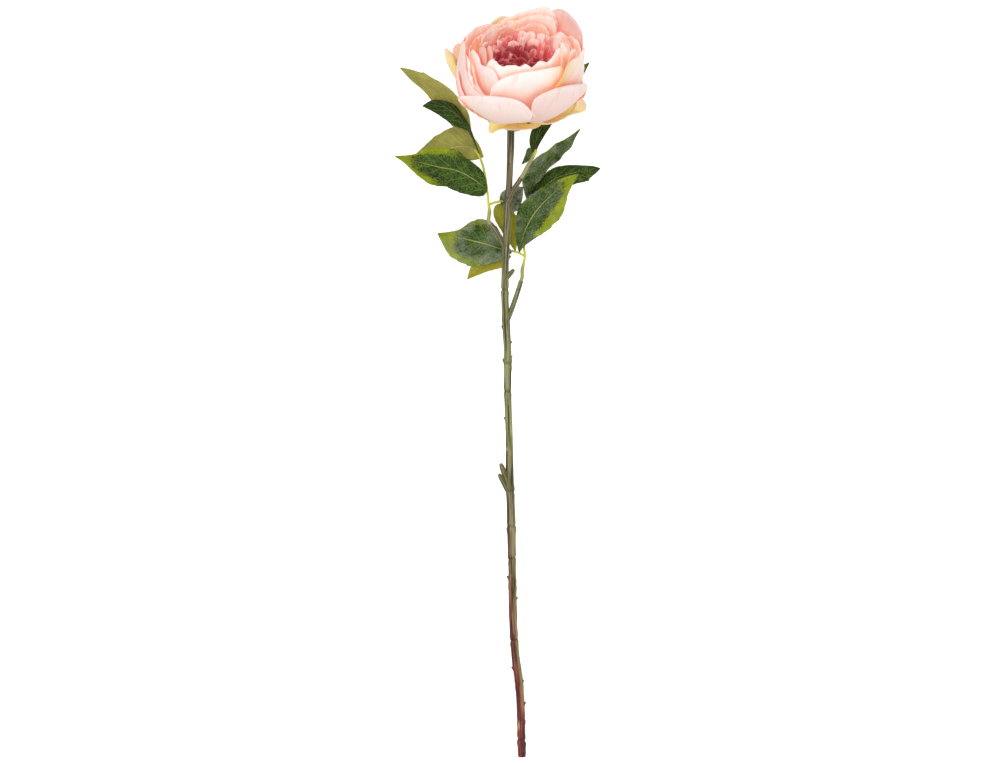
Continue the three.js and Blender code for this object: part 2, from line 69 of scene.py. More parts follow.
# The bloom's own axes: where they start, and their turns about X and Y in degrees.
BLOOM_FOOT = (513, 118, 33.3)
BLOOM_LEAN = -55
BLOOM_ROLL = 7
BLOOM_PLACE = (Matrix.Translation(at(*BLOOM_FOOT))
               @ Matrix.Rotation(math.radians(BLOOM_LEAN), 4, "X")
               @ Matrix.Rotation(math.radians(BLOOM_ROLL), 4, "Y"))


def on_bloom(x, y, height):
    """A point given in millimetres on the bloom's own axes."""
    return BLOOM_PLACE @ Vector((x / 1000, y / 1000, height / 1000))


def eased(x):
    """0 below 0, 1 above 1, and smooth between them."""
    x = min(max(x, 0), 1)
    return x * x * (3 - 2 * x)


def bell(off, width):
    return math.exp(-(off / width) ** 2)


LINE_FINENESS = 13      # points on each stretch of a smooth line, before they are spaced


def smooth_line(points, count):
    """Evenly spaced points on a smooth line through the given ones."""
    fine = []
    last = len(points) - 1
    for k in range(last):
        a, b = points[k], points[k + 1]
        reach = (b - a).length / 3
        leave = a + (b - points[max(k - 1, 0)]).normalized() * reach
        arrive = b - (points[min(k + 2, last)] - a).normalized() * reach
        fine += interpolate_bezier(a, leave, arrive, b, LINE_FINENESS)[:-1]
    fine.append(points[last])
    lengths = [0.0]
    for a, b in zip(fine, fine[1:]):
        lengths.append(lengths[-1] + (b - a).length)
    spaced = []
    k = 0
    for i in range(count + 1):
        target = lengths[-1] * i / count
        while k < len(fine) - 2 and lengths[k + 1] < target:
            k += 1
        share = (target - lengths[k]) / (lengths[k + 1] - lengths[k])
        spaced.append(fine[k].lerp(fine[k + 1], share))
    return spaced


def new_bmesh():
    """An empty bmesh with the cloth map and the attributes that the materials read."""
    bm = bmesh.new()
    bm.loops.layers.uv.new("cloth")
    for name in ("along", "across", "tone", "glow", "pink", "gold", "deep_outer", "deep_inner"):
        bm.verts.layers.float.new(name)
    return bm


def marks(bm, names):
    """The named attributes of a bmesh's points."""
    return [bm.verts.layers.float[name] for name in names.split()]


def sheet(bm, columns, rows):
    """The points of a new flat grid, which spans -0.5 to 0.5 both ways."""
    return bmesh.ops.create_grid(bm, x_segments=columns, y_segments=rows, size=0.5)["verts"]


def map_cloth(bm, places):
    """Writes the cloth map of new faces from the place of each point on it, in metres."""
    uv = bm.loops.layers.uv["cloth"]
    for face in {face for vert in places for face in vert.link_faces}:
        for loop in face.loops:
            loop[uv].uv = places[loop.vert]


TUBE_WRAP = 0.02        # metres of cloth map once round any tube
MERGE_DISTANCE = 1e-6


def grow_tube(bm, line, radius_at, sides):
    """Rolls a grid into a closed tube round a line. radius_at gives millimetres from the
    share of the line and the angle round it."""
    along, = marks(bm, "along")
    steps = len(line) - 1
    length = sum((b - a).length for a, b in zip(line, line[1:]))
    places = {}
    for vert in sheet(bm, sides, steps):
        turn = vert.co.x + 0.5
        k = round((vert.co.y + 0.5) * steps)
        share = k / steps
        forward = (line[min(k + 1, steps)] - line[max(k - 1, 0)]).normalized()
        side = forward.cross(Vector((0, 0, 1))).normalized()
        lift = side.cross(forward)
        angle = 2 * math.pi * turn
        radius = radius_at(share, angle) / 1000
        vert.co = line[k] + (side * math.cos(angle) + lift * math.sin(angle)) * radius
        vert[along] = share
        places[vert] = (turn * TUBE_WRAP, share * length)
    map_cloth(bm, places)
    bmesh.ops.remove_doubles(bm, verts=list(places), dist=MERGE_DISTANCE)
    bmesh.ops.holes_fill(bm, edges=[edge for edge in bm.edges if edge.is_boundary], sides=0)


def piece_from(bm, name, node, materials):
    """Makes the finished object of a bmesh and puts it in the CAD node's place."""
    mesh = bpy.data.meshes.new(name)
    for face in bm.faces:
        face.smooth = True
    bm.to_mesh(mesh)
    bm.free()
    piece = bpy.data.objects.new(name, mesh)
    bpy.context.scene.collection.objects.link(piece)
    for material in materials:
        mesh.materials.append(material)
    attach(piece, "root")
    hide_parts(node)
    return piece


def tint(code):
    """A colour written as six hexadecimal digits, made linear."""
    parts = [int(code[k:k + 2], 16) / 255 for k in (0, 2, 4)]
    return (*[c / 12.92 if c <= 0.04045 else ((c + 0.055) / 1.055) ** 2.4 for c in parts], 1)


class Varying:
    """A value or a colour that varies over a surface. Arithmetic on it adds the nodes."""

    def __init__(self, socket):
        self.socket, self.tree = socket, socket.id_data

    def __add__(self, other):
        return reckon("ADD", self, other)

    def __sub__(self, other):
        return reckon("SUBTRACT", self, other)

    def __rsub__(self, other):
        return reckon("SUBTRACT", other, self)

    def __mul__(self, other):
        return reckon("MULTIPLY", self, other)

    def fade(self, low, high):
        """0 below low, 1 above high, and smooth between them."""
        return add(self.tree, "MapRange", {"Value": self, "From Min": low, "From Max": high},
                   interpolation_type="SMOOTHSTEP")


def add(tree, kind, inputs, *outputs, **settings):
    """Adds a shader node with its inputs set or linked, and returns its first output or
    the ones that are named."""
    made = tree.nodes.new("ShaderNode" + kind)
    for key, value in settings.items():
        setattr(made, key, value)
    for key, value in inputs.items():
        if isinstance(value, Varying):
            tree.links.new(value.socket, made.inputs[key])
        else:
            made.inputs[key].default_value = value
    found = [Varying(made.outputs[name]) for name in outputs or (0,)]
    return found if outputs[1:] else found[0]


def tree_of(*values):
    """The tree that the first value with one belongs to."""
    return next(value.tree for value in values if isinstance(value, Varying))


def reckon(operation, *values, clamp=False):
    return add(tree_of(*values), "Math", dict(enumerate(values)), operation=operation,
               use_clamp=clamp)


def dye(amount, ground, colour, blend_type="MIX"):
    """Mixes a colour into a ground; either may be a code."""
    ground, colour = [tint(dyed) if isinstance(dyed, str) else dyed for dyed in (ground, colour)]
    return add(tree_of(amount, ground, colour), "Mix", {0: amount, 6: ground, 7: colour}, 2,
               data_type="RGBA", blend_type=blend_type)


def coats(ground, *layers):
    """Lays dyes over a ground one by one: where, how strongly, its colour, how it mixes."""
    for where, strength, colour, *blend_type in layers:
        ground = dye(where * strength, ground, colour, *blend_type)
    return ground


def ramp(value, stops):
    """A colour that changes along a value from one code to the next."""
    colour = add(value.tree, "ValToRGB", {"Fac": value})
    scale = colour.socket.node.color_ramp
    scale.interpolation = "EASE"
    while len(scale.elements) < len(stops):
        scale.elements.new(0.5)
    for element, (place, code) in zip(scale.elements, stops):
        element.position = place
        element.color = tint(code)
    return colour


def new_group(name, given, results):
    """An empty node group: itself, its inputs as values, and its output node."""
    group = bpy.data.node_groups.new(name, "ShaderNodeTree")
    for names, side in ((given, "INPUT"), (results, "OUTPUT")):
        for socket, kind in names.items():
            group.interface.new_socket(socket, in_out=side, socket_type="NodeSocket" + kind)
    inputs = group.nodes.new("NodeGroupInput").outputs
    return group, {name: Varying(inputs[name]) for name in given}, group.nodes.new("NodeGroupOutput")


def wire(node, **values):
    """Links values to a node's inputs; an underscore stands for a space in their names."""
    for key, value in values.items():
        value.tree.links.new(value.socket, node.inputs[key.replace("_", " ")])


def new_material(name, **values):
    """A material with its surface-wide values on the shader, and its tree and shader."""
    material = bpy.data.materials.new(name)
    material.use_nodes = True
    shader = material.node_tree.nodes["Principled BSDF"]
    for key, value in values.items():
        shader.inputs[key.replace("_", " ")].default_value = value
    return material, material.node_tree, shader


cloudy, given, result = new_group(
    "cloudy_noise", {"Scale": "Float", "Detail": "Float", "Stretch": "Vector",
                     "Roughness": "Float", "Shift": "Vector"}, {"Value": "Float"})
place = add(cloudy, "Mapping", {"Vector": add(cloudy, "TexCoord", {}, "Object"),
                                "Scale": given["Stretch"], "Location": given["Shift"]})
wire(result, Value=add(cloudy, "TexNoise", {
    "Vector": place, "Scale": given["Scale"], "Detail": given["Detail"],
    "Roughness": given["Roughness"]}, "Fac"))

drawn, given, result = new_group("drawn_threads", {"Stretch": "Vector"}, {"Value": "Float"})
place = add(drawn, "Mapping", {"Vector": add(drawn, "UVMap", {}, uv_map="cloth"),
                               "Scale": given["Stretch"]})
wire(result, Value=add(drawn, "TexNoise", {"Vector": place, "Scale": 1, "Detail": 3}, "Fac"))


def clouds(tree, scale, detail=3, stretch=(1, 1, 1), roughness=0.55, shift=(0, 0, 0)):
    """Soft noise between 0 and 1 on the object's own coordinates, at a scale per metre."""
    return add(tree, "Group", {"Scale": scale, "Detail": detail, "Stretch": stretch,
                               "Roughness": roughness, "Shift": shift}, node_tree=cloudy)


def threads(tree, stretch):
    """Noise drawn out along the piece's own cloth map."""
    return add(tree, "Group", {"Stretch": stretch}, node_tree=drawn)


def cloth_map(tree, axis):
    """Metres across (X) or up (Y) the piece's own cloth map."""
    return add(tree, "SeparateXYZ", {0: add(tree, "UVMap", {}, uv_map="cloth")}, axis)


def read(tree, name):
    return add(tree, "Attribute", {}, "Fac", attribute_name=name)


def bump(height, strength, distance, onto=None):
    under = {"Normal": onto} if onto else {}
    return add(height.tree, "Bump", {"Height": height, "Strength": strength,
                                     "Distance": distance, **under})


stem_plastic, tree, shader = new_material("stem_plastic", Specular_IOR_Level=0.22)
blotch = clouds(tree, 70, stretch=(1, 0.4, 1))
# From 0 at the cut end to 1 under the bloom, and unevenly across.
span = add(tree, "SeparateXYZ", {0: add(tree, "TexCoord", {}, "Object")}, "Y")
span = add(tree, "MapRange", {"Value": span, "From Min": -0.32, "From Max": 0.22})
span += (blotch - 0.5) * 0.06
# Its lower half is ruddy, most of all at the left, and green at the right.
left = reckon("COSINE", cloth_map(tree, "X") * (2 * math.pi / TUBE_WRAP))
lower = 0.36 - span
ruddy = (lower * 3 + left).fade(0.1, 0.9) * blotch.fade(0.3, 0.5)
green = (left * -1).fade(0.1, 0.7) * lower.fade(-0.1, 0.1) * span.fade(0.05, 0.1)
# Lengthwise streaks: the paler paint on their raised ridges is a painted highlight, and the dark paint
# in the grooves between them is painted shade.
ridge_highlight = dye(span.fade(0.1, 0.32), "74403A", "6A6850")
streak = threads(tree, (620, 22, 1))
fine_streak = threads(tree, (2100, 60, 1))
grit = clouds(tree, 900, detail=4)
colour = ramp(span, [
    (0.0, "6A1C1C"), (0.045, "6C2422"), (0.09, "643028"), (0.2, "6A4432"), (0.34, "6C5A3C"),
    (0.42, "68623E"), (0.52, "707244"), (0.66, "707446"), (0.78, "6C6A44"), (0.88, "665E46"),
    (1.0, "4C4630")])
colour = coats(
    colour, (ruddy, 0.9, "5E1A18"), (green, 0.7, "7E8448"),
    (streak.fade(0.5, 0.58), 0.8, ridge_highlight, "ADD"), (1 - streak.fade(0.4, 0.47), 0.9, "281E12"),
    (fine_streak.fade(0.52, 0.62), 0.55, ridge_highlight, "ADD"), (read(tree, "tone"), 1, "2E2016"),
    (read(tree, "glow"), 1, "B4B684"), (grit.fade(0.52, 0.72), 0.4, "332C1E"))
wire(shader, Base_Color=colour, Roughness=streak * 0.2 + 0.3,
     Normal=bump(grit, 0.4, 0.0004, bump(streak + fine_streak * 0.4, 0.9, 0.0012)))

STEM_LINE = [
    (510.6, 150), (508.8, 195), (506.2, 240), (505, 290), (506, 325), (507.6, 356),
    (507.6, 390), (509.2, 436), (510.2, 484), (511.3, 530), (512.3, 575), (513.3, 618),
    (515.3, 655), (518.8, 684), (520.8, 712), (521.5, 740), (522, 757.5)]
STEM_TOP = on_bloom(0, 0, -11.3)        # inside the calyx
STEM_NECK = on_bloom(0, 0, -14.5)
CUT_ROW = 757.5
CUT_HEIGHT = 3.55

# Joints of the moulding: row, depth of the waist, height of the shoulders above and below
# it, and how dark its line is.
STEM_JOINTS = [
    (151, 0.1, 0.1, 0.1, 0.3), (198, 0.15, 0.4, 0.3, 0.5), (246, 0.1, 0.3, 0.3, 0.3),
    (289.5, 0.5, 0.15, 0.25, 0.9), (322, 0, 0.4, 0.2, 0.2), (363, 0.1, 0.5, 0.4, 0.7),
    (391, 0.55, 0.1, 0.25, 0.9), (424, 0.1, 0.1, 0.1, 0.2), (491, 0.2, 0.6, 0.3, 0.6),
    (526, 0.3, 0.1, 0.65, 0.6), (558.5, 0.45, 0.3, 0.2, 0.9), (584, 0, 0.3, 0.4, 0.3),
    (612, 0, 0.2, 0.35, 0.2), (639.5, 0.55, 0.3, 0.3, 1.0), (670, 0.1, 0.35, 0.2, 0.4),
    (684, 0.05, 0.3, 0.3, 0.3), (719.5, 0.3, 0.2, 0.45, 0.7), (740, 0.7, 0.25, 0.6, 1.0)]
# Buds and cut snags: root row, tip column and row, root and tip radius.
STEM_SNAGS = [
    (280, 514, 269.5, 2.3, 1.9), (333, 501.6, 325.5, 1.8, 1.0), (347, 512.2, 341, 1.6, 0.8),
    (362, 512.4, 356, 1.6, 0.8), (366, 502.6, 359, 2.0, 1.0), (424, 504.0, 417, 1.8, 0.9),
    (488, 500.5, 463.5, 2.9, 2.3), (494, 498.8, 474, 2.8, 2.1), (584, 507.0, 576, 1.8, 0.9),
    (604, 517.6, 597, 1.8, 0.9), (674, 511.6, 667, 1.8, 0.9), (688, 523.6, 680, 1.8, 0.9),
    (709, 525.6, 702, 1.8, 0.9)]
# Worn pale patches: row, half their length, and the column where they end at the right.
WORN_PATCHES = [(726, 6, 520), (449, 3, 508)]
# Stubs of the side branches, from the stem outwards.
LEFT_STUB = [(504.6, 248, 26), (499, 236, 27.4), (490.8, 224, 28)]
LOWER_RIGHT_STUB = [(506.5, 322, 23), (514, 303, 23.6), (521, 281, 24)]
UPPER_RIGHT_STUB = [(508, 202, 30), (513, 191, 31), (521, 178, 31.5)]

STEM_STEPS = 420
STEM_SIDES = 32
STEM_ARCH = 4                   # millimetres that it rises over a straight line
STEM_THIN, STEM_THICK = 2.8, 3.5
SHOULDER_OFF, SHOULDER_WIDTH, WAIST_WIDTH = 3.5, 3.2, 1.3       # rows from a joint
STUB_STEPS = 28
STUB_SIDES = 16
STUB_RADIUS = 2.0
SNAG_STEPS = 8
SNAG_SIDES = 12
SNAG_LIFT = 0.6                 # millimetres that a tip stands over the stem's middle


def stem_share(row):
    top_row = row_of(STEM_TOP)
    return (row - top_row) / (CUT_ROW - top_row)


def stem_height(row):
    """Millimetres above the surface: the stem slopes down from the bloom in an arch."""
    share = min(max(stem_share(row), 0), 1)
    top = STEM_TOP.z * 1000
    return top + (CUT_HEIGHT - top) * share + STEM_ARCH * math.sin(math.pi * share ** 0.6)


def stem_radius(row, angle):
    radius = STEM_THIN + (STEM_THICK - STEM_THIN) * min(1, 1.3 * max(stem_share(row), 0))
    for k, (joint, waist, above, below, _) in enumerate(STEM_JOINTS):
        off = row - joint - 1.2 * math.sin(angle + 2.1 * k)
        shoulder = below if off > 0 else above
        radius += shoulder * bell(abs(off) - SHOULDER_OFF, SHOULDER_WIDTH)
        radius -= waist * bell(off, WAIST_WIDTH)
    ridges = 0.12 * math.sin(4 * angle + row / 37) + 0.6 * noise.noise(
        Vector((1.9 * math.cos(angle), 1.9 * math.sin(angle), row / 55)))
    return radius + ridges - 0.5 * eased((row - CUT_ROW + 3) / 3)


def stub_radius(share, angle):
    flare = 1.2 - 0.2 * share + 0.16 * max(share - 0.9, 0)
    return STUB_RADIUS * flare + 0.08 * math.sin(3 * angle + 9 * share)


def stub_line(stub):
    return smooth_line([at(*point) for point in stub], STUB_STEPS)


bm = new_bmesh()
line = smooth_line([STEM_TOP, STEM_NECK,
                    *[at(column, row, stem_height(row)) for column, row in STEM_LINE]], STEM_STEPS)
grow_tube(bm, line, lambda share, angle: stem_radius(row_of(line[round(share * STEM_STEPS)]), angle),
          STEM_SIDES)
for stub in (LEFT_STUB, LOWER_RIGHT_STUB, UPPER_RIGHT_STUB):
    grow_tube(bm, stub_line(stub), stub_radius, STUB_SIDES)
for row, tip_column, tip_row, root_radius, tip_radius in STEM_SNAGS:
    foot = min(line, key=lambda point: abs(row_of(point) - row))
    tip = at(tip_column, tip_row, stem_height(tip_row) + SNAG_LIFT)
    grow_tube(bm, [foot.lerp(tip, k / SNAG_STEPS) for k in range(SNAG_STEPS + 1)],
              lambda share, angle: 0.12 * math.sin(2 * angle + 5 * share)
              + (root_radius + (tip_radius - root_radius) * share)
              * (1 - 0.35 * max(share - 0.85, 0) / 0.15), SNAG_SIDES)
tone, glow = marks(bm, "tone glow")
for vert in bm.verts:
    row, column = row_of(vert.co), column_of(vert.co)
    scar = max(dark * (1 - eased(abs(row - joint) / 1.8)) for joint, *_, dark in STEM_JOINTS)
    vert[tone] = scar * (0.75 + 0.6 * noise.noise(vert.co * 320))
    vert[glow] = 0.6 * max((1 - eased(abs(row - middle) / half)) * (column < right)
                           for middle, half, right in WORN_PATCHES)
piece_from(bm, "moulded_stem", "stem", [stem_plastic])


# -------------------------------------------------------------------------- petioles
# Each side spray has a pale sleeve of soft plastic that plugs over its stub, and narrows
# to a thin bright yellow stalk, which forks to the leaves.

stalk_plastic, tree, shader = new_material("stalk_plastic", Roughness=0.45,
                                           Specular_IOR_Level=0.35)
mark = clouds(tree, 160)
colour = coats(dye(mark.fade(0.35, 0.7), "CDCB48", "B9BC3C"), (read(tree, "tone"), 1, "9C9660"),
               (threads(tree, (900, 60, 1)).fade(0.5, 0.7), 0.5, "86823A"))
wire(shader, Base_Color=colour, Normal=bump(mark, 0.3, 0.0005))

SLEEVE_RADIUS = 1.6
STALK_RADIUS = 1.0
STALK_SIDES = 14
FORK_STEPS = 30
FORK_SIDES = 12
SLEEVE_END = 0.17           # share of the route where a sleeve narrows to its stalk
LAST_SLEEVE_RADII = 1.75, 1.3       # of the upper right sleeve, which has no stalk
PLUG_DEPTH = 0.0008         # metres that a sleeve's end is pushed over its stub
PLUG_REACH = 0.0033         # metres that it runs straight on


def sleeve_radius(share, angle):
    lips = 0.2 * (1 - eased(share / 0.03)) + 0.15 * (1 - eased(abs(share - SLEEVE_END) / 0.02))
    taper = SLEEVE_RADIUS - 6 * (share - SLEEVE_END)
    return min(max(taper, STALK_RADIUS), SLEEVE_RADIUS) + lips + 0.05 * math.sin(2 * angle)


def last_sleeve_radius(share, angle):
    start, end = LAST_SLEEVE_RADII
    lip = 0.2 * (1 - eased(share / 0.05))
    return start + (end - start) * share + lip + 0.05 * math.sin(2 * angle)


def stalk_radius(share, angle):
    return STALK_RADIUS + 0.1 * math.sin(17 * share) + 0.05 * math.sin(3 * angle)


def plugged(stub, route):
    """The points of a route that starts over the end of a stub."""
    before, end = stub_line(stub)[-2:]
    forward = (end - before).normalized()
    return [end - forward * PLUG_DEPTH, end + forward * PLUG_REACH,
            *[at(*point) for point in route]]


# Each side stalk: its stub, its route, its fork, how far the sleeve's pale dye reaches,
# the steps of its route and the shape of its sleeve.
PETIOLES = {
    "petiole_left": (LEFT_STUB, [
        (489.4, 212, 28.2), (488.6, 204, 27.8), (487.6, 194, 26.8), (485.4, 178, 23.8),
        (483, 166, 21), (479.5, 157, 19), (475, 149.5, 18)],
        [(488.7, 205, 27.8), (495, 202.4, 24.5), (503, 201, 21.5)],
        0.15, 90, sleeve_radius),
    "petiole_lower_right": (LOWER_RIGHT_STUB, [
        (522.3, 270, 24), (524, 262, 23.6), (525, 256, 23), (524.2, 247, 21.4),
        (526, 226, 17.5), (528, 202, 16)],
        [(525, 256.5, 23), (520, 253.4, 21.6), (511.5, 250.6, 20)],
        0.15, 90, sleeve_radius),
    "petiole_upper_right": (UPPER_RIGHT_STUB, [
        (527, 167, 31), (533, 157, 29.2), (536.2, 150, 27.2)], None,
        0.75, 40, last_sleeve_radius),
}

for name, (stub, route, fork, pale_reach, steps, shape) in PETIOLES.items():
    bm = new_bmesh()
    tone, along = marks(bm, "tone along")
    grow_tube(bm, smooth_line(plugged(stub, route), steps), shape, STALK_SIDES)
    for vert in bm.verts:
        vert[tone] = 1 - eased((vert[along] - pale_reach) / 0.12)
    if fork:
        grow_tube(bm, smooth_line([at(*point) for point in fork], FORK_STEPS), stalk_radius,
                  FORK_SIDES)
    piece_from(bm, name.replace("petiole", "stalk"), name, [stalk_plastic])


# ---------------------------------------------------------------------------- leaves
# The blades are stiffened cloth, stamped to shape with a pressed midrib and side veins.
# Their faces are dyed dark green and sprayed lime along the margins, with a painted greyish sheen on
# some; their backs are plain olive. Each is fixed to the end of its stalk.

SIDE_VEINS = 7.5            # pairs to a blade
VEIN_SLANT = 2.2            # veins that one crosses on its way to the margin
VEIN_CURVE = 0.8

weave, given, result = new_group("cloth_weave", {"Pitch": "Float"}, {"Height": "Float"})
rate = reckon("DIVIDE", 2 * math.pi, given["Pitch"])
warp, weft = [reckon("SINE", cloth_map(weave, axis) * rate) for axis in "XY"]
wire(result, Height=(warp + weft) * 0.25 + 0.5)


def woven(tree, pitch):
    """The relief of plain cloth with its threads a pitch apart, in metres."""
    return add(tree, "Group", {"Pitch": pitch}, node_tree=weave)


veins, given, result = new_group(
    "leaf_veins", {"Along": "Float", "Across": "Float", "Count": "Float", "Slant": "Float"},
    {"Rib": "Float", "Vein": "Float", "Quilt": "Float"})
out = reckon("ABSOLUTE", given["Across"])
phase = given["Along"] * given["Count"] - reckon("POWER", out, VEIN_CURVE) * given["Slant"]
phase += reckon("GREATER_THAN", given["Across"], 0) * 0.45
phase += (clouds(veins, 60, detail=1) - 0.5) * 0.5
apart = reckon("PINGPONG", phase, 0.5)
rib_width = given["Along"] * -0.03 + 0.048
wire(result, Rib=1 - reckon("DIVIDE", out, rib_width).fade(0.35, 1.0),
     Vein=(1 - apart.fade(0.0, 0.075)) * (1 - out.fade(0.55, 0.95)), Quilt=apart.fade(0.0, 0.4))


def stamping(tree):
    """What is stamped into a blade: its rib, its side veins, the quilted cloth between
    them, a fine pale network, and the cloth's grain."""
    cells = add(tree, "TexVoronoi", {"Vector": add(tree, "TexCoord", {}, "Object"), "Scale": 680,
                                     "Randomness": 1.0}, "Distance", feature="DISTANCE_TO_EDGE")
    return (*add(tree, "Group", {"Along": read(tree, "along"), "Across": read(tree, "across"),
                                 "Count": SIDE_VEINS, "Slant": VEIN_SLANT},
                 "Rib", "Vein", "Quilt", node_tree=veins),
            1 - cells.fade(0.02, 0.2), clouds(tree, 1150, detail=2, roughness=0.7))


leaf_face, tree, shader = new_material("leaf_face", Specular_IOR_Level=0.1)
rib, vein, quilt, net, fine = stamping(tree)
broad = clouds(tree, 90, detail=4)
grey = read(tree, "tone")
spray = (read(tree, "glow") + (fine - 0.5) * 1.5 + (broad - 0.5)).fade(0.25, 0.85)
# A painted grey sheen, a reflection painted into the colour, lies between the veins, where no lime was
# sprayed.
painted_sheen = grey * clouds(tree, 80, shift=(3, 1, 0)).fade(0.34, 0.62) * (quilt * 0.3 + 0.5)
painted_sheen = reckon("MULTIPLY", painted_sheen, fine * 2.4 - 0.3, clamp=True)
colour = coats(
    dye(broad.fade(0.38, 0.66), "1C2F12", "36541F"), (net, 0.35, "56702C"),
    (fine.fade(0.5, 0.64), 0.55, "6C8832"), (1 - fine.fade(0.38, 0.5), 0.8, "0E1C08"),
    (spray, 0.95, dye(broad.fade(0.4, 0.7), "86921A", "9AA524")),
    (painted_sheen, spray * -0.6 + 1, "98A088"), (grey, -1, "141C0A"), (vein, 0.35, "98A456"),
    (rib, 0.75, "BCC070"))
wire(shader, Base_Color=colour, Roughness=broad * 0.2 + 0.45,
     Normal=bump(woven(tree, 0.00045), 0.25, 0.00015,
                 bump(quilt * 0.6 + fine * 0.5 - net * 0.25 - rib, 0.8, 0.0007)))

leaf_back, tree, shader = new_material("leaf_back", Roughness=0.7, Specular_IOR_Level=0.12)
rib, vein, quilt, net, fine = stamping(tree)
colour = coats(
    dye(clouds(tree, 110).fade(0.35, 0.7), "938F42", "ABA654"),
    (read(tree, "tone"), 1, "A8A41C"), (read(tree, "glow"), 0.8, "8C7A22"),
    (fine.fade(0.5, 0.7), 0.4, "6E6C2C"), (net, 0.25, "B5AF68"), (vein, 0.65, "D0CB84"),
    (rib, 0.85, "DAD48E"))
wire(shader, Base_Color=colour,
     Normal=bump(woven(tree, 0.0005), 0.4, 0.0002,
                 bump(rib + vein * 0.6 - quilt * 0.5, 0.7, 0.0007)))
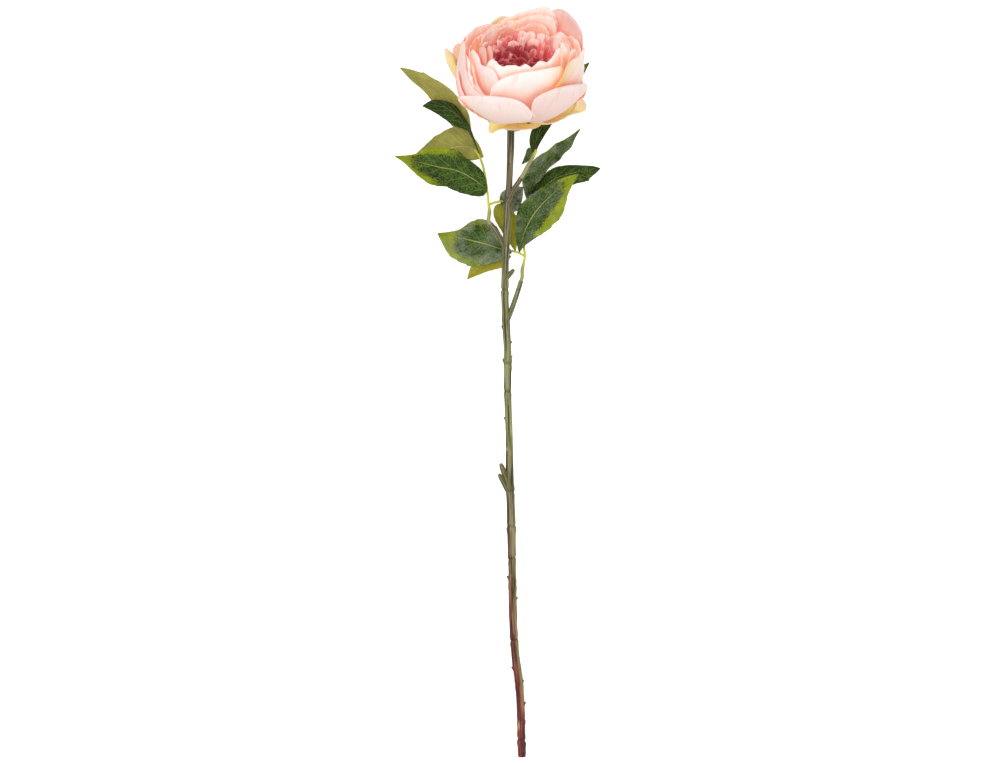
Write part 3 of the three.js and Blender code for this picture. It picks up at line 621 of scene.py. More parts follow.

# Each blade: face or back uppermost; base and tip as picture column and row; heights of both in
# millimetres; bow along and fold across, in millimetres too; lime on its upper margin, its lower
# margin and its tip, and the share of its length where it begins; and grey, which paints a grey sheen
# on the face, a painted reflection, darkens the face where it is negative and yellows the back. Then
# come its upper edge, its rib and its lower edge.
BLADES = {
    "leaf_left_top": dict(
        back=True, base=(474.2, 149.2), tip=(399, 67), z=(15.9, 7), bow=2, fold=3,
        lime=(0, 0.1, 0, 0), grey=0.0,
        upper=[(471, 129), (468, 113), (457, 96.5), (448, 87.5), (440, 82), (430, 76.5),
               (423, 72), (421, 72.5), (410, 69)],
        rib=[(467, 131), (453, 111), (440, 95), (424, 81)],
        lower=[(463, 137), (447, 120), (431, 99.5), (423, 90), (411, 80)]),
    "leaf_left_dark": dict(
        back=False, base=(479.3, 154), tip=(422, 106), z=(20.5, 23), bow=3, fold=-4,
        lime=(0, 0.1, 0.15, 0.2), grey=-0.3,
        upper=[(470, 128), (462, 114), (455, 105.6), (444, 100.7), (432, 100.4)],
        rib=[(469, 129.5), (458, 116), (446, 108), (434, 105)],
        lower=[(468, 131), (455, 126), (444, 118.5), (434, 112)]),
    "leaf_left_middle": dict(
        back=True, base=(484, 157), tip=(408, 161), z=(18.4, 7), bow=-5, fold=1.5,
        lime=(0, 0, 0, 0), grey=0.0,
        upper=[(478, 143), (466, 131), (455, 126.5), (445, 130.5), (437, 135), (434.6, 136.2),
               (424, 146)],
        rib=[(470, 147), (450, 148), (432, 153)],
        lower=[(474, 160), (460, 160), (442, 166), (424, 166)]),
    "leaf_left_front": dict(
        back=False, base=(487.6, 190), tip=(394, 156), z=(28.3, 21), bow=3, fold=2.5,
        lime=(1.0, 1.0, 0.85, 0.3), grey=0.0,
        upper=[(485, 176), (479.5, 168), (465, 157), (455.5, 150), (438.5, 148), (425.5, 148.5),
               (415, 154)],
        rib=[(474, 179.5), (458, 171), (438.5, 167), (416, 161.5)],
        lower=[(483, 196), (471, 195.5), (455, 191), (447, 187), (432, 185), (422, 179),
               (412.5, 171), (403, 162)]),
    "leaf_low_left": dict(
        back=False, base=(512.5, 252.5), tip=(437, 233), z=(18, 8), bow=2, fold=3,
        lime=(0.7, 0.75, 1.0, 0.15), grey=1.1,
        upper=[(503, 238), (495, 225), (486, 219.5), (473, 220.7), (460, 229), (451, 231.5)],
        rib=[(501, 249), (489, 245), (472, 240.5), (454, 236.5)],
        lower=[(502, 259), (481, 266), (470, 266), (456, 260), (449, 255), (443, 245)]),
    "leaf_low_bottom": dict(
        back=True, base=(511.5, 256), tip=(466.6, 279.7), z=(17.3, 4), bow=0, fold=1.5,
        lime=(0, 0, 0.2, 0), grey=1.0,
        upper=[(500, 251), (485, 255), (472, 265)],
        rib=[(500, 260), (487, 264.5), (475, 272.5)],
        lower=[(503, 267), (496, 269), (487, 271.5), (478, 275)]),
    "leaf_low_curled": dict(
        back=True, base=(515.5, 251.5), tip=(498, 203.5), z=(18.9, 16.6), bow=-2, fold=-2,
        lime=(0.7, 0.1, 0, 0), grey=1.0,
        upper=[(503, 233), (496.5, 222), (493.5, 214), (494.5, 207)],
        rib=[(510, 236), (505, 220), (501, 210)],
        lower=[(518, 238), (517.5, 220), (512, 210), (504, 204)]),
    "leaf_right_front": dict(
        back=False, base=(519, 253.2), tip=(579, 173.6), z=(23.1, 27), bow=6, fold=3,
        lime=(0.3, 1.6, 0.85, 0.1), grey=0.5,
        upper=[(516.2, 240), (516, 226), (518, 209), (526.5, 199), (536.4, 191), (545.6, 186),
               (558, 180), (568.6, 176)],
        rib=[(523, 236), (532, 217), (545, 201), (562, 186)],
        lower=[(524.6, 246), (539, 236), (547, 231), (554, 224), (561, 217), (565.4, 205.5),
               (568, 194.6), (574, 182)]),
    "leaf_behind_stem": dict(
        back=False, base=(499.5, 201), tip=(523, 187), z=(19.7, 19), bow=1, fold=-2,
        lime=(0, 0, 0, 0), grey=2.0,
        upper=[(501, 193.5), (507, 189), (515, 186.5)],
        rib=[(505, 200), (512, 197), (518, 192)],
        lower=[(504, 208), (511, 212), (518, 210), (522, 200)]),
    "leaf_right_long": dict(
        back=False, base=(528, 203), tip=(581, 128), z=(17.9, 21), bow=2, fold=3,
        lime=(0.4, 0.2, 0.3, 0.1), grey=0.9,
        upper=[(524, 191), (522.8, 179), (533, 161), (542, 154), (548, 150.5), (556.3, 143),
               (558.5, 142.6), (568.6, 137)],
        rib=[(530, 188), (539, 173), (550, 160), (564, 147)],
        lower=[(532, 190), (542.5, 177), (549.4, 167.5), (559.4, 160), (564, 153.5),
               (571, 147.5), (574.7, 139)]),
    "leaf_behind_bloom": dict(
        back=False, base=(534.6, 155), tip=(590, 61.5), z=(26.3, 4), bow=-5, fold=2,
        lime=(0.2, 0, 0.95, 0), grey=-0.4,
        upper=[(529.8, 145), (530.5, 134), (537, 120), (552, 94), (572, 71)],
        rib=[(536, 141), (545, 121), (561, 97), (576, 76)],
        lower=[(540, 143), (549, 128.5), (560, 113), (573, 94), (583, 76)]),
    "leaflet_small": dict(
        back=False, base=(534, 152.5), tip=(521.5, 164.5), z=(24, 21.5), bow=0, fold=0.6,
        lime=(0.1, 0, 0, 0), grey=1.8,
        upper=[(529, 147.5), (525, 155.5)],
        rib=[(529, 154), (525, 160)],
        lower=[(533, 157), (527, 162)]),
    "leaf_right_low": dict(
        back=False, base=(529, 204), tip=(601, 168), z=(14.1, 10), bow=2, fold=-2,
        lime=(0.1, 0.25, 0.2, 0.2), grey=-0.1,
        upper=[(532, 190), (542, 177), (552, 168.6), (561, 166), (572, 165), (583, 165.4),
               (593, 166)],
        rib=[(540, 191), (554, 179), (570, 173.5), (586, 170.5)],
        lower=[(540, 203), (556, 196), (572, 185), (581, 182.5), (589, 180.5), (589.5, 178.5),
               (596, 173)]),
}

BLADE_STEPS = 72
BLADE_HALF = 12
EDGE_FINENESS = 4               # points of an edge to each step of a blade
TEETH = 9                       # to each margin
TOOTH_DEPTH = 0.022             # share of the blade's half width
RIPPLE_HEIGHT, RIB_DEPTH, QUILT_HEIGHT = 0.5, 0.6, 0.16         # millimetres
SOLID_CLOTH = 0.0007


def thicken(piece, thickness, reverse):
    """Gives a sheet its thickness, with another material on its lower face."""
    shell = piece.modifiers.new("thickness", "SOLIDIFY")
    shell.thickness = thickness
    shell.offset = 0
    shell.material_offset = reverse
    shell.material_offset_rim = 0


def lay_blade(bm, blade):
    """Stamps a grid to a blade's outline, with its fold, rib, veins and rippled margin."""
    along, across, tone, glow = marks(bm, "along across tone glow")
    steps = EDGE_FINENESS * BLADE_STEPS
    edges = {}
    for name in ("upper", "rib", "lower"):
        points = [blade["base"], *blade[name], blade["tip"]]
        edges[name] = smooth_line([at(*point) for point in points], steps)
    low, high = blade["z"]
    upper_lime, lower_lime, tip_lime, lime_from = blade["lime"]
    places = {}
    for vert in sheet(bm, 2 * BLADE_HALF, BLADE_STEPS):
        side = 2 * vert.co.x
        out = abs(side)
        share = 0.01 + 0.98 * (vert.co.y + 0.5)
        k = round(share * steps)
        hump = math.sin(math.pi * share)
        tooth = TOOTH_DEPTH * hump * (2 * ((TEETH * share + 0.3 * (side > 0)) % 1) - 1)
        vert.co = edges["rib"][k].lerp(edges["upper" if side < 0 else "lower"][k],
                                       out * (1 + tooth * side ** 4))
        ripple = math.sin(9 * share + 2 * side) + 0.6 * math.sin(23 * share + 3 * side)
        quilt = math.cos(2 * math.pi * (SIDE_VEINS * share - VEIN_SLANT * out ** VEIN_CURVE))
        vert.co.z = (low + (high - low) * share + hump * (
            blade["bow"] + blade["fold"] * side * side + RIPPLE_HEIGHT * side * side * ripple
            - RIB_DEPTH * bell(side, 0.12) + QUILT_HEIGHT * quilt * out * (1.2 - out))) / 1000
        vert[along] = share
        vert[across] = side
        # The painted grey sheen grows towards the margins of a face; backs and darkened faces take
        # their tone evenly.
        even = blade["back"] or blade["grey"] < 0
        vert[tone] = blade["grey"] * (1 if even else 0.4 + 0.6 * out)
        margin = (upper_lime if side < 0 else lower_lime) * eased((out - 0.3) / 0.65)
        vert[glow] = max(margin * eased((share - lime_from) / 0.35),
                         tip_lime * eased((share - 0.55) / 0.42))
        places[vert] = vert.co.xy
    map_cloth(bm, places)
    bmesh.ops.recalc_face_normals(bm, faces=bm.faces)
    bm.normal_update()
    if sum(face.normal.z for face in bm.faces) < 0:
        bmesh.ops.reverse_faces(bm, faces=bm.faces)


for name, blade in BLADES.items():
    bm = new_bmesh()
    lay_blade(bm, blade)
    facing = [leaf_back, leaf_face] if blade["back"] else [leaf_face, leaf_back]
    piece = piece_from(bm, name + "_blade", name, facing)
    thicken(piece, SOLID_CLOTH, 1)


# ---------------------------------------------------------------------- guard petals
# The bloom is built up of thin satin petals, shaped by heat and glued round a cup in
# rings. The guards are the outermost ring: short, apricot yellow, and lobed at the left.

PETAL_CLOTH = 0.0005        # metres thick
PETAL_COLUMNS = 48
PETAL_ROWS = 22
FLOOR_CLEARANCE = 0.00005
BLOOM_BACK = BLOOM_PLACE.inverted()
PER_RADIAN = 57.3           # degrees

DYES = ("Root", "Belly", "Body", "Tip", "Lip")
SATIN_THREADS = (420, 36, 1)
satin, given, result = new_group(
    "petal_satin", {**{name: "Color" for name in DYES}, "Painted Shade And Glow Tint": "Color",
                    "Deep": "Float", "Depth": "Float", "Glow": "Float"},
    {"Color": "Color", "Shine": "Color", "Height": "Float"})
fibres = threads(satin, SATIN_THREADS)
broad = clouds(satin, 55)
# The share runs from root to rim and a little further at the sides; the palest Lip band that it
# reaches there is a painted rim highlight.
edge = reckon("POWER", reckon("ABSOLUTE", read(satin, "across")), 4)
share = (read(satin, "along") + (broad - 0.5) * 0.25 + (fibres - 0.5) * 0.16 + edge * 0.12
         + read(satin, "glow") * 0.3)
colour = given["Root"]
for name, low, high in (("Belly", 0.0, 0.3), ("Body", 0.3, 0.6), ("Tip", 0.6, 0.85),
                        ("Lip", 0.87, 1.0)):
    colour = dye(share.fade(low, high), colour, given[name])
# Peach, pink, gold, then painted warm shade deep between the layers, where other petals stand close,
# and the cloth's own threads.
colour = coats(
    colour, (read(satin, "tone"), 1 - share.fade(0.72, 1.0) * 0.75, "FFC79A", "MULTIPLY"),
    (read(satin, "pink"), 1, "F4D6D4", "MULTIPLY"),
    (read(satin, "gold"), broad.fade(0.2, 0.55), "F8DE84", "MULTIPLY"),
    (given["Deep"].fade(0.3, 0.9), given["Depth"], given["Painted Shade And Glow Tint"], "MULTIPLY"),
    (fibres.fade(0.52, 0.7), 0.22, "F2B6A8", "MULTIPLY"))
# Painted glow: where other petals stand close, the material emits the shade tint and a little of its
# own colour, as if light came through the cloth.
painted_warm_glow = dye(given["Deep"] * given["Glow"], "000000", given["Painted Shade And Glow Tint"])
own = dye(given["Deep"] * 0.13, "000000", colour)
wire(result, Color=colour, Shine=dye(1, painted_warm_glow, own, "ADD"), Height=broad * 1.5 + fibres)


def petal_material(name, outside, inside, painted_shade_and_glow_tint, depth, glow):
    """The satin of one ring of petals, dyed from root to lip on each of its faces, with painted warm
    shade and a painted glow, which the material emits, deep between the layers."""
    made = []
    for face, codes in (("outer", outside), ("inner", inside)):
        material, tree, shader = new_material(
            f"{name}_{face}", Roughness=0.62, Sheen_Weight=0.2, Sheen_Roughness=0.4,
            Emission_Strength=1.0)
        colour, shine, height = add(tree, "Group", {
            **{place: tint(code) for place, code in zip(DYES, codes)},
            "Painted Shade And Glow Tint": tint(painted_shade_and_glow_tint), "Deep": read(tree, "deep_" + face),
            "Depth": depth, "Glow": glow}, "Color", "Shine", "Height", node_tree=satin)
        wire(shader, Base_Color=colour, Emission_Color=shine,
             Normal=bump(woven(tree, 0.0004), 0.12, 0.00012, bump(height, 0.35, 0.0009)))
        made.append(material)
    return made


def seen_at(column, row, radius, front):
    """Angle, radius and height on the bloom of what the picture shows at a point, at a
    distance from the bloom's axis in millimetres, on its near or its far side."""
    foot = (BLOOM_BACK @ at(column, row)) * 1000
    rise = BLOOM_BACK.to_3x3() @ Vector((0, 0, 1))
    a = rise.x ** 2 + rise.y ** 2
    b = foot.x * rise.x + foot.y * rise.y
    c = foot.x ** 2 + foot.y ** 2 - radius ** 2
    swing = math.sqrt(max(b * b - a * c, 0))
    point = foot + rise * ((-b + (swing if front else -swing)) / a)
    return math.degrees(math.atan2(point.x, -point.y)), math.hypot(point.x, point.y), point.z


def round_rim(angle, half, radius, height, fall=0.3):
    """The rim of a plain round petal: it spans half millimetres to each side."""
    spread = math.degrees(half / radius)
    return [(angle + spread * t, radius, height * (1 - fall * abs(t) ** 2.5))
            for t in (-1, -0.92, -0.7, -0.35, 0, 0.35, 0.7, 0.92, 1)]


# Crumples of a petal, from broad to fine: how many across and up it, their depth in
# millimetres, how strictly they keep to the rim, and where their noise is taken.
CRUMPLES = [(5, 1.5, 1.5, 1.5, 0), (16, 2, 0.8, 3, 7), (30, 3, 0.5, 6, 13)]
CLOTH_HEIGHT = 0.05         # metres of cloth map from a petal's root to its rim


def lay_petal(bm, rim, root, belly, flare, dyes, ripple, seed, lift=(0, 0), drop=0,
              columns=PETAL_COLUMNS, rows=PETAL_ROWS):
    """Shapes a grid into a petal that rises from its root over its belly to its rim. Lift
    is how early it rises in its middle and at its sides."""
    along, across, tone, pink, gold, glow = marks(bm, "along across tone pink gold glow")
    peach, rose, left_gold, right_gold, pale = (*dyes, 0)[:5]
    middle = rim[len(rim) // 2][0]
    # Spaced on the real distance round the axis, so that degrees count as millimetres.
    edge = smooth_line([
        Vector((((angle - middle + 180) % 360 - 180 + middle) * radius / PER_RADIAN, radius, height))
        for angle, radius, height in rim], columns)
    centre = sum(point.x * PER_RADIAN / point.y for point in edge) / len(edge)
    width = (edge[-1] - edge[0]).length / 1000
    root_radius, root_height = root
    places = {}
    for vert in sheet(bm, columns, rows):
        u, s = vert.co.x + 0.5, vert.co.y + 0.5
        tip = edge[round(u * columns)]
        rag = noise.noise(Vector((u * 7 + seed, seed * 1.7, 0.3))) * ripple
        climb = tip.z - root_height
        early = lift[0] + (lift[1] - lift[0]) * (2 * u - 1) ** 2
        controls = [(root_radius, root_height),
                    (flare * (tip.y + belly), root_height + drop + climb * 0.4 * early),
                    (tip.y + belly, root_height + climb * (0.5 + 0.5 * early)),
                    (tip.y, tip.z + rag)]
        weights = ((1 - s) ** 3, 3 * s * (1 - s) ** 2, 3 * s ** 2 * (1 - s), s ** 3)
        radius, rise = [sum(w * control[i] for w, control in zip(weights, controls)) for i in (0, 1)]
        opening = 0.2 + 0.8 * math.sin(math.pi / 2 * min(s / 0.62, 1))
        angle = math.radians(centre + (tip.x * PER_RADIAN / tip.y - centre) * opening)
        radius += ripple * sum(
            depth * s ** rimward * noise.noise(Vector((u * wide + seed, s * high, seed + salt)))
            for wide, high, depth, rimward, salt in CRUMPLES)
        vert.co = on_bloom(radius * math.sin(angle), -radius * math.cos(angle), rise)
        vert.co.z = max(vert.co.z, PETAL_CLOTH / 2 + FLOOR_CLEARANCE)
        vert[along], vert[across], vert[tone], vert[pink], vert[glow] = s, 2 * u - 1, peach, rose, pale
        vert[gold] = left_gold * eased(1 - 2 * u) + right_gold * eased(2 * u - 1)
        places[vert] = ((u - 0.5) * width * (0.35 + 0.65 * s), s * CLOTH_HEIGHT)
    map_cloth(bm, places)


CORE_SIDES = 24


def lay_core(bm, bottom, top, radius):
    """The rounded cup that the roots are glued to."""
    along, = marks(bm, "along")
    ball = bmesh.ops.create_uvsphere(bm, u_segments=CORE_SIDES, v_segments=CORE_SIDES // 2,
                                     radius=1)
    for vert in ball["verts"]:
        vert.co = on_bloom(vert.co.x * radius, vert.co.y * radius,
                           (bottom + top) / 2 + vert.co.z * (top - bottom) / 2)
        vert[along] = 0


def ring_of_petals(bm, seen, unseen, root, seed, peach=0):
    """Lays the petals that the picture shows, and plain ones where it hides the ring."""
    for k, (front, belly, flare, lift, dyes, ripple, picks) in enumerate(seen):
        rim = [seen_at(*pick, front) for pick in picks]
        lay_petal(bm, rim, root, belly, flare, dyes, ripple, seed + 3.7 * k, lift)
    for k, (angle, half, radius, height) in enumerate(unseen):
        lay_petal(bm, round_rim(angle, half, radius, height), root, 2, 0.75, (peach, 0.1, 0, 0),
                  1, seed + 40 + 2.3 * k)


# Petals as the picture shows them: near or far side; belly beyond the rim in millimetres;
# flare from the root; how early the petal rises in its middle and at its sides; dyes of
# peach, of pink, of gold at the left and at the right, and how pale it is; ripple; then
# the rim as column, row and distance from the axis.
GUARD_SEEN = [
    (True, -12, 0.45, (0, 0), (0, 0, 1.0, 1.4), 0.5, [
        (462, 86, 47), (457, 79, 51), (452, 73, 56), (448, 66, 60), (445.5, 57, 63),
        (444.8, 49, 65), (449, 50.5, 61), (453, 54, 56), (457, 60, 51), (461, 66, 47)]),
    (True, -8, 0.5, (0, 0), (0.2, 0.8, 0, 0), 0.5, [
        (459, 70, 48), (455, 60, 51.5), (452.8, 52, 54), (453.8, 47.5, 53.5), (457, 44.8, 51),
        (460, 43.8, 49), (463, 47, 47), (465, 54, 46)]),
    (True, 1, 0.7, (1, 1), (0, 0, 0.2, 0), 0.6, [
        (457.5, 96, 55), (459.5, 101.5, 55), (462.5, 105.4, 54), (468, 109.6, 51), (475, 114.2, 47),
        (482, 118, 42), (489, 121, 37), (497, 123.2, 32), (503, 123.5, 28)]),
    (True, 1, 0.8, (1, 1), (0, 0, 0.3, 0.5), 0.8, [
        (492, 119, 27), (489.2, 125, 28), (489.4, 132, 30), (493, 133.4, 29), (498, 130, 26),
        (505, 129.6, 24), (515, 130.3, 23), (525, 130, 24), (534, 128.5, 27), (541, 124.5, 30),
        (545, 118, 30)]),
    (True, 1, 0.75, (1, 1), (0, 0, 0.8, 0.4), 0.8, [
        (536, 118, 30), (540, 121.5, 32), (546, 123.3, 36), (552, 123.5, 40), (558, 121.8, 43),
        (566, 117.5, 47), (574, 113, 51), (581, 112, 55), (585.4, 109.5, 58), (585.4, 103.5, 57),
        (581, 98, 54)]),
    (False, 4, 0.9, (0, 0), (0, 0, 0.2, 0.2), 0.6, [
        (474, 42, 57), (482, 33, 57), (488, 26.5, 57), (493, 21.5, 57), (499, 16.8, 58),
        (505, 16.3, 58), (511, 17.5, 57), (520, 20, 57), (532, 24, 57)]),
]
# Petals that the picture hides: angle, half width, radius and height of the rim.
GUARD_UNSEEN = [(106, 22, 52, 44), (161, 27, 58, 60), (-150, 28, 56, 60)]

guard_cloth = petal_material(
    "guard_satin", ("CDB458", "DEC862", "EAD682", "EFE0AA", "F2D8C4"),
    ("DCC268", "E8D48C", "EFE0AC", "F0E0BC", "F0D8C6"), "DADA90", 0.45, 0.12)
bm = new_bmesh()
lay_core(bm, -1.5, 4, 14)
ring_of_petals(bm, GUARD_SEEN, GUARD_UNSEEN, (8, 0.5), 1)
guards = piece_from(bm, "guard_satin_petals", "guard_petals", guard_cloth)
thicken(guards, PETAL_CLOTH, 1)


# ---------------------------------------------------------------------- blush petals
# Three rings of large petals in pale satin, creamy outside and blush to coral inside: the
# outer ones, the cup within them, and the frilled rim of the cup.

OUTER_SEEN = [
    # Low front pair.
    (True, 1.6, 0.7, (0.12, 1), (0, 0.3, 0, 0), 0.5, [
        (464, 105, 56), (461, 102, 57), (458.7, 98.4, 57.5), (462, 97, 56), (468, 96.5, 54.5),
        (480, 96.4, 53), (493, 97.2, 52.5), (506, 99, 52.5), (517, 101.5, 52.5), (525, 106, 53),
        (530.5, 111.5, 53), (531.7, 116, 52.5), (530, 120, 51)]),
    (True, 1.4, 0.67, (0.06, 1), (0, 0.55, 0, 0), 0.5, [
        (535, 117, 47), (532, 111, 49), (533, 102, 50.5), (540, 96, 50.5), (550, 91.5, 51),
        (560, 88.5, 52), (570, 86, 53.5), (580, 84.6, 56), (587.3, 84.6, 59), (586.5, 91, 58.5),
        (583, 98, 57)]),
    # Right side, streaked.
    (True, 0.5, 0.7, (0.3, 1), (0, 0.3, 1.5, 0), 1.0, [
        (552, 94, 49), (557, 86, 49), (562, 78, 49.5), (565, 70, 50), (568, 64.5, 50),
        (573, 60.5, 51), (578, 57, 52), (582, 51, 53), (584.6, 48, 54), (585, 55, 54),
        (583.8, 66, 53.5), (583.5, 76, 53.5), (583.5, 88, 53.5)]),
    # Round back right petal.
    (False, 2, 0.8, (0, 0), (0.1, 0.9, 0, 0, 0), 0.8, [
        (547, 26, 51), (549.5, 17, 52), (552.5, 11, 52.5), (558, 8.8, 53), (566, 11, 53.5),
        (573, 16.8, 54), (578, 24, 54), (581.6, 32, 54), (583.4, 42, 54), (584, 54, 53.5)]),
    # Tall peach petal at the back.
    (False, 2, 0.8, (0, 0), (0.35, 0, 0.2, 0, 0.1), 1.5, [
        (488, 37, 52), (494, 27, 52), (502, 20.5, 52), (512, 15, 52), (523, 10.5, 52.5),
        (532, 8.2, 53), (539, 6.2, 53), (546, 5, 53), (551, 8, 52.5), (555, 14, 52), (557, 24, 51)]),
    # Salmon arc at the back left.
    (False, 2, 0.8, (0, 0), (0.1, 0.3, 0, 0, 0.4), 0.8, [
        (459.5, 56, 52), (461.5, 45, 52), (466.5, 36, 52), (472, 29.7, 52), (478, 26.3, 52),
        (484, 24.6, 52), (490, 23.6, 52), (496, 25, 51.5), (501, 30, 51)]),
    # Left outermost petal.
    (True, 3, 0.97, (0.3, 0.8), (0, 0.75, 0, 0), 0.5, [
        (464.5, 97, 53), (460.2, 86, 53.5), (458.8, 74, 53.5), (459, 60, 54), (461.6, 48, 54),
        (464.2, 41.6, 53), (465.8, 46, 52), (465.8, 55, 51.5), (465.6, 65, 51), (467.5, 74, 51),
        (470.5, 83, 51), (475, 90, 51), (482, 96, 51)]),
]
CUP_SEEN = [
    # Pale strip inside the left outermost petal.
    (True, 1, 0.9, (0.2, 0.5), (0, 0, 0, 0, 0.6), 0.4, [
        (463, 80, 50), (463, 70, 50), (464, 60, 49.8), (466.2, 55.5, 49.5), (468.6, 60, 49),
        (470, 66, 48.7), (470, 74, 48.7), (473, 82, 48.7), (477.5, 90, 48.7), (483, 96, 48.7)]),
    # Front centre.
    (True, 2, 0.7, (0.15, 0.6), (0, 0, 0, 1.5, 0.3), 0.5, [
        (497, 104, 46), (491.5, 98, 46.5), (491, 91, 46), (494.5, 85.5, 45.5), (500.5, 80.5, 45),
        (511, 76.5, 44.5), (523, 73.8, 44), (535, 72, 44), (545, 70, 44), (554, 68, 44.5),
        (561, 67, 45), (563.5, 72, 46), (561, 79, 46.5), (556, 87, 47), (549, 95, 47),
        (541, 102, 47)]),
    # Left front, with a peak.
    (True, 2, 0.7, (0, 0), (0.05, 0.35, 0, 0), 0.9, [
        (487, 98, 47), (480, 90, 47), (476, 80, 46.5), (473.5, 71, 46.5), (471, 61, 46),
        (470.4, 55, 45.5), (472.2, 50, 45), (475, 53, 43.5), (478.5, 58.5, 42.5), (480.5, 64.5, 42),
        (485, 67, 42), (490, 68, 42), (495, 73, 42.5), (499, 82, 43)]),
    # Right, narrow, between the cup and the outer petal.
    (True, 1, 0.7, (0, 0), (0.1, 0.2, 0.4, 0.4), 0.8, [
        (561, 72, 44), (562.5, 60, 41), (561.5, 50, 38), (561.6, 43.5, 37), (565, 46, 39),
        (568.5, 52, 41.5), (570.5, 60, 44), (569, 68, 46)]),
    (True, 1, 0.7, (0, 0), (0.3, 0.2, 0, 0), 0.8, [
        (567, 66, 46), (569.5, 57, 45), (572, 51.5, 45), (575, 50, 46), (577, 53, 48), (576, 60, 49)]),
    # Back right.
    (False, 2, 0.75, (0, 0), (0.1, 0.2, 0, 0), 1.0, [
        (551, 45, 45), (553, 37, 45), (557, 33, 45), (561, 32.5, 45.5), (564.5, 35.5, 46),
        (568, 42, 46.5), (572, 50, 47), (573, 60, 47)]),
    # Back centre with a ruffled tip.
    (False, 2, 0.75, (0, 0), (0.6, 0, 0.3, 0, 0.05), 2.0, [
        (497, 38, 45), (503, 29.5, 45), (509, 24.3, 45), (515, 21.3, 45), (521, 19.5, 45),
        (527, 17.6, 45.5), (533, 16.5, 45.5), (538, 14.6, 46), (543, 15, 46), (548, 15.6, 46),
        (552.5, 18.5, 45.5), (555, 24, 45), (554.5, 32, 44.5), (555.5, 42, 44)]),
    # Back left, inside the salmon arc.
    (False, 2, 0.75, (0, 0), (0.6, 0, 0.6, 0.5, 0.3), 1.8, [
        (468, 56, 47), (471.5, 46, 47), (476, 38.5, 47), (482, 33, 47), (489, 28.5, 47),
        (496, 25, 47), (503, 21.5, 47), (510, 19, 47), (517, 20, 46.5), (522, 26, 46)]),
]
INNER_SEEN = [
    # Front rim of the cup, in two, with small scallops.
    (True, 1, 0.7, (0, 0), (0, 0, 0.2, 0.1), 1.1, [
        (481, 80, 42), (484, 71, 41.5), (487.5, 64, 41), (489.5, 61.8, 40.8), (492.6, 60, 40.5),
        (496, 62.2, 40), (499.5, 65, 39.5), (503.5, 67.4, 39.5), (507, 66, 39.3), (512, 65.6, 39),
        (515.5, 66, 39), (518.5, 67.6, 39), (520.5, 68, 39), (523, 66.5, 39), (525.3, 65.2, 39),
        (528, 66.2, 39), (530, 67.8, 39), (532.4, 69.2, 39.2), (535, 72, 39.5), (537, 76, 40)]),
    (True, 1, 0.7, (0, 0), (0.05, 0, 0.2, 0.2), 1.1, [
        (528, 76, 39.8), (530.5, 71.5, 39), (532.4, 68.8, 38.6), (535.3, 66, 38.4), (538, 63.4, 38.4),
        (541, 62.8, 38.4), (544, 63.2, 38.4), (547.4, 63.2, 38.5), (550, 61, 38.6), (552.3, 59, 38.8),
        (554.5, 56.5, 38.4), (556.4, 52.5, 38), (559, 50, 37.5), (561.8, 49, 37.5), (562.8, 52, 38.5),
        (563.6, 58, 40), (564, 65, 42), (563, 74, 44)]),
    # Left, salmon strips between the layers.
    (True, 1, 0.7, (0, 0), (1.0, 0.7, 0, 0, -2.0), 0.5, [
        (468, 70, 44), (468, 58, 44), (470.5, 49, 44), (475, 41.5, 43.5), (477, 39.8, 43),
        (477, 46, 42), (477, 56, 41.5), (478, 66, 41)]),
    (True, 1, 0.7, (0, 0), (0.3, 0.9, 0, 0, -0.8), 0.6, [
        (477, 68, 40), (477.5, 58, 40), (479.5, 50, 39.5), (482, 47, 39), (485, 49, 38.5),
        (486.5, 56, 38.5), (487, 66, 38.5)]),
    (True, 1, 0.7, (0, 0), (0.3, 0.9, 0, 0, -1.0), 0.6, [
        (484, 66, 36.5), (485, 56, 36), (487, 49, 36), (489.5, 46.5, 35.5), (492, 49.5, 35),
        (493, 56, 35), (493, 66, 35)]),
    # Back arcs.
    (False, 1, 0.75, (0, 0), (0.7, 0.2, 0.3, 0.2, 0.2), 2.0, [
        (477, 52, 42), (480, 43, 42), (485, 36.5, 42), (491, 31.5, 42), (498, 27.8, 42),
        (505, 26, 42), (512, 26.5, 41.5), (518, 31, 41)]),
    (False, 1, 0.75, (0, 0), (0.6, 0.1, 0, 0, -0.4), 2.0, [
        (503, 39, 40), (508, 33, 40), (514, 29.6, 40), (520, 28, 40), (525, 25.6, 40.5),
        (531, 23.6, 41), (537, 23.2, 41), (543, 25, 41), (548, 29.5, 41), (551, 37, 40.5),
        (552, 46, 40)]),
    (False, 1, 0.75, (0, 0), (0.9, 0, 0.6, 0.3, 0), 1.9, [
        (484, 46, 44.5), (487, 38, 44.5), (491, 31, 44.5), (496.5, 27, 44.5), (503.5, 23, 44.5),
        (510, 21.5, 44.5), (516, 22.5, 44), (520, 27, 44)]),
    (False, 1, 0.75, (0, 0), (0.6, 0.9, 0.2, 0.1, -0.5), 2.2, [
        (495, 44, 38.5), (498, 37.5, 38.5), (501.5, 33.4, 38.5), (505.8, 29.5, 38.5),
        (511, 28.6, 38.5), (516, 30.8, 38.5), (522, 31.5, 38.5), (528, 36, 38.5)]),
    (False, 1, 0.75, (0, 0), (0.3, 0.2, 0, 0), 1.6, [
        (541, 50, 40), (545, 42, 40), (550, 37.5, 40), (555, 36.5, 40.5), (559, 40, 41),
        (561.5, 47, 41), (562, 56, 41)]),
]
OUTER_UNSEEN = [(-118, 26, 51, 68), (118, 24, 52, 70), (-94, 22, 49, 62), (95, 22, 49, 62),
                (-63, 13, 50.5, 58)]
CUP_UNSEEN = [(-90, 26, 44, 66), (125, 24, 43, 68)]
INNER_UNSEEN = [(101, 22, 36, 66), (-104, 22, 35, 66)]

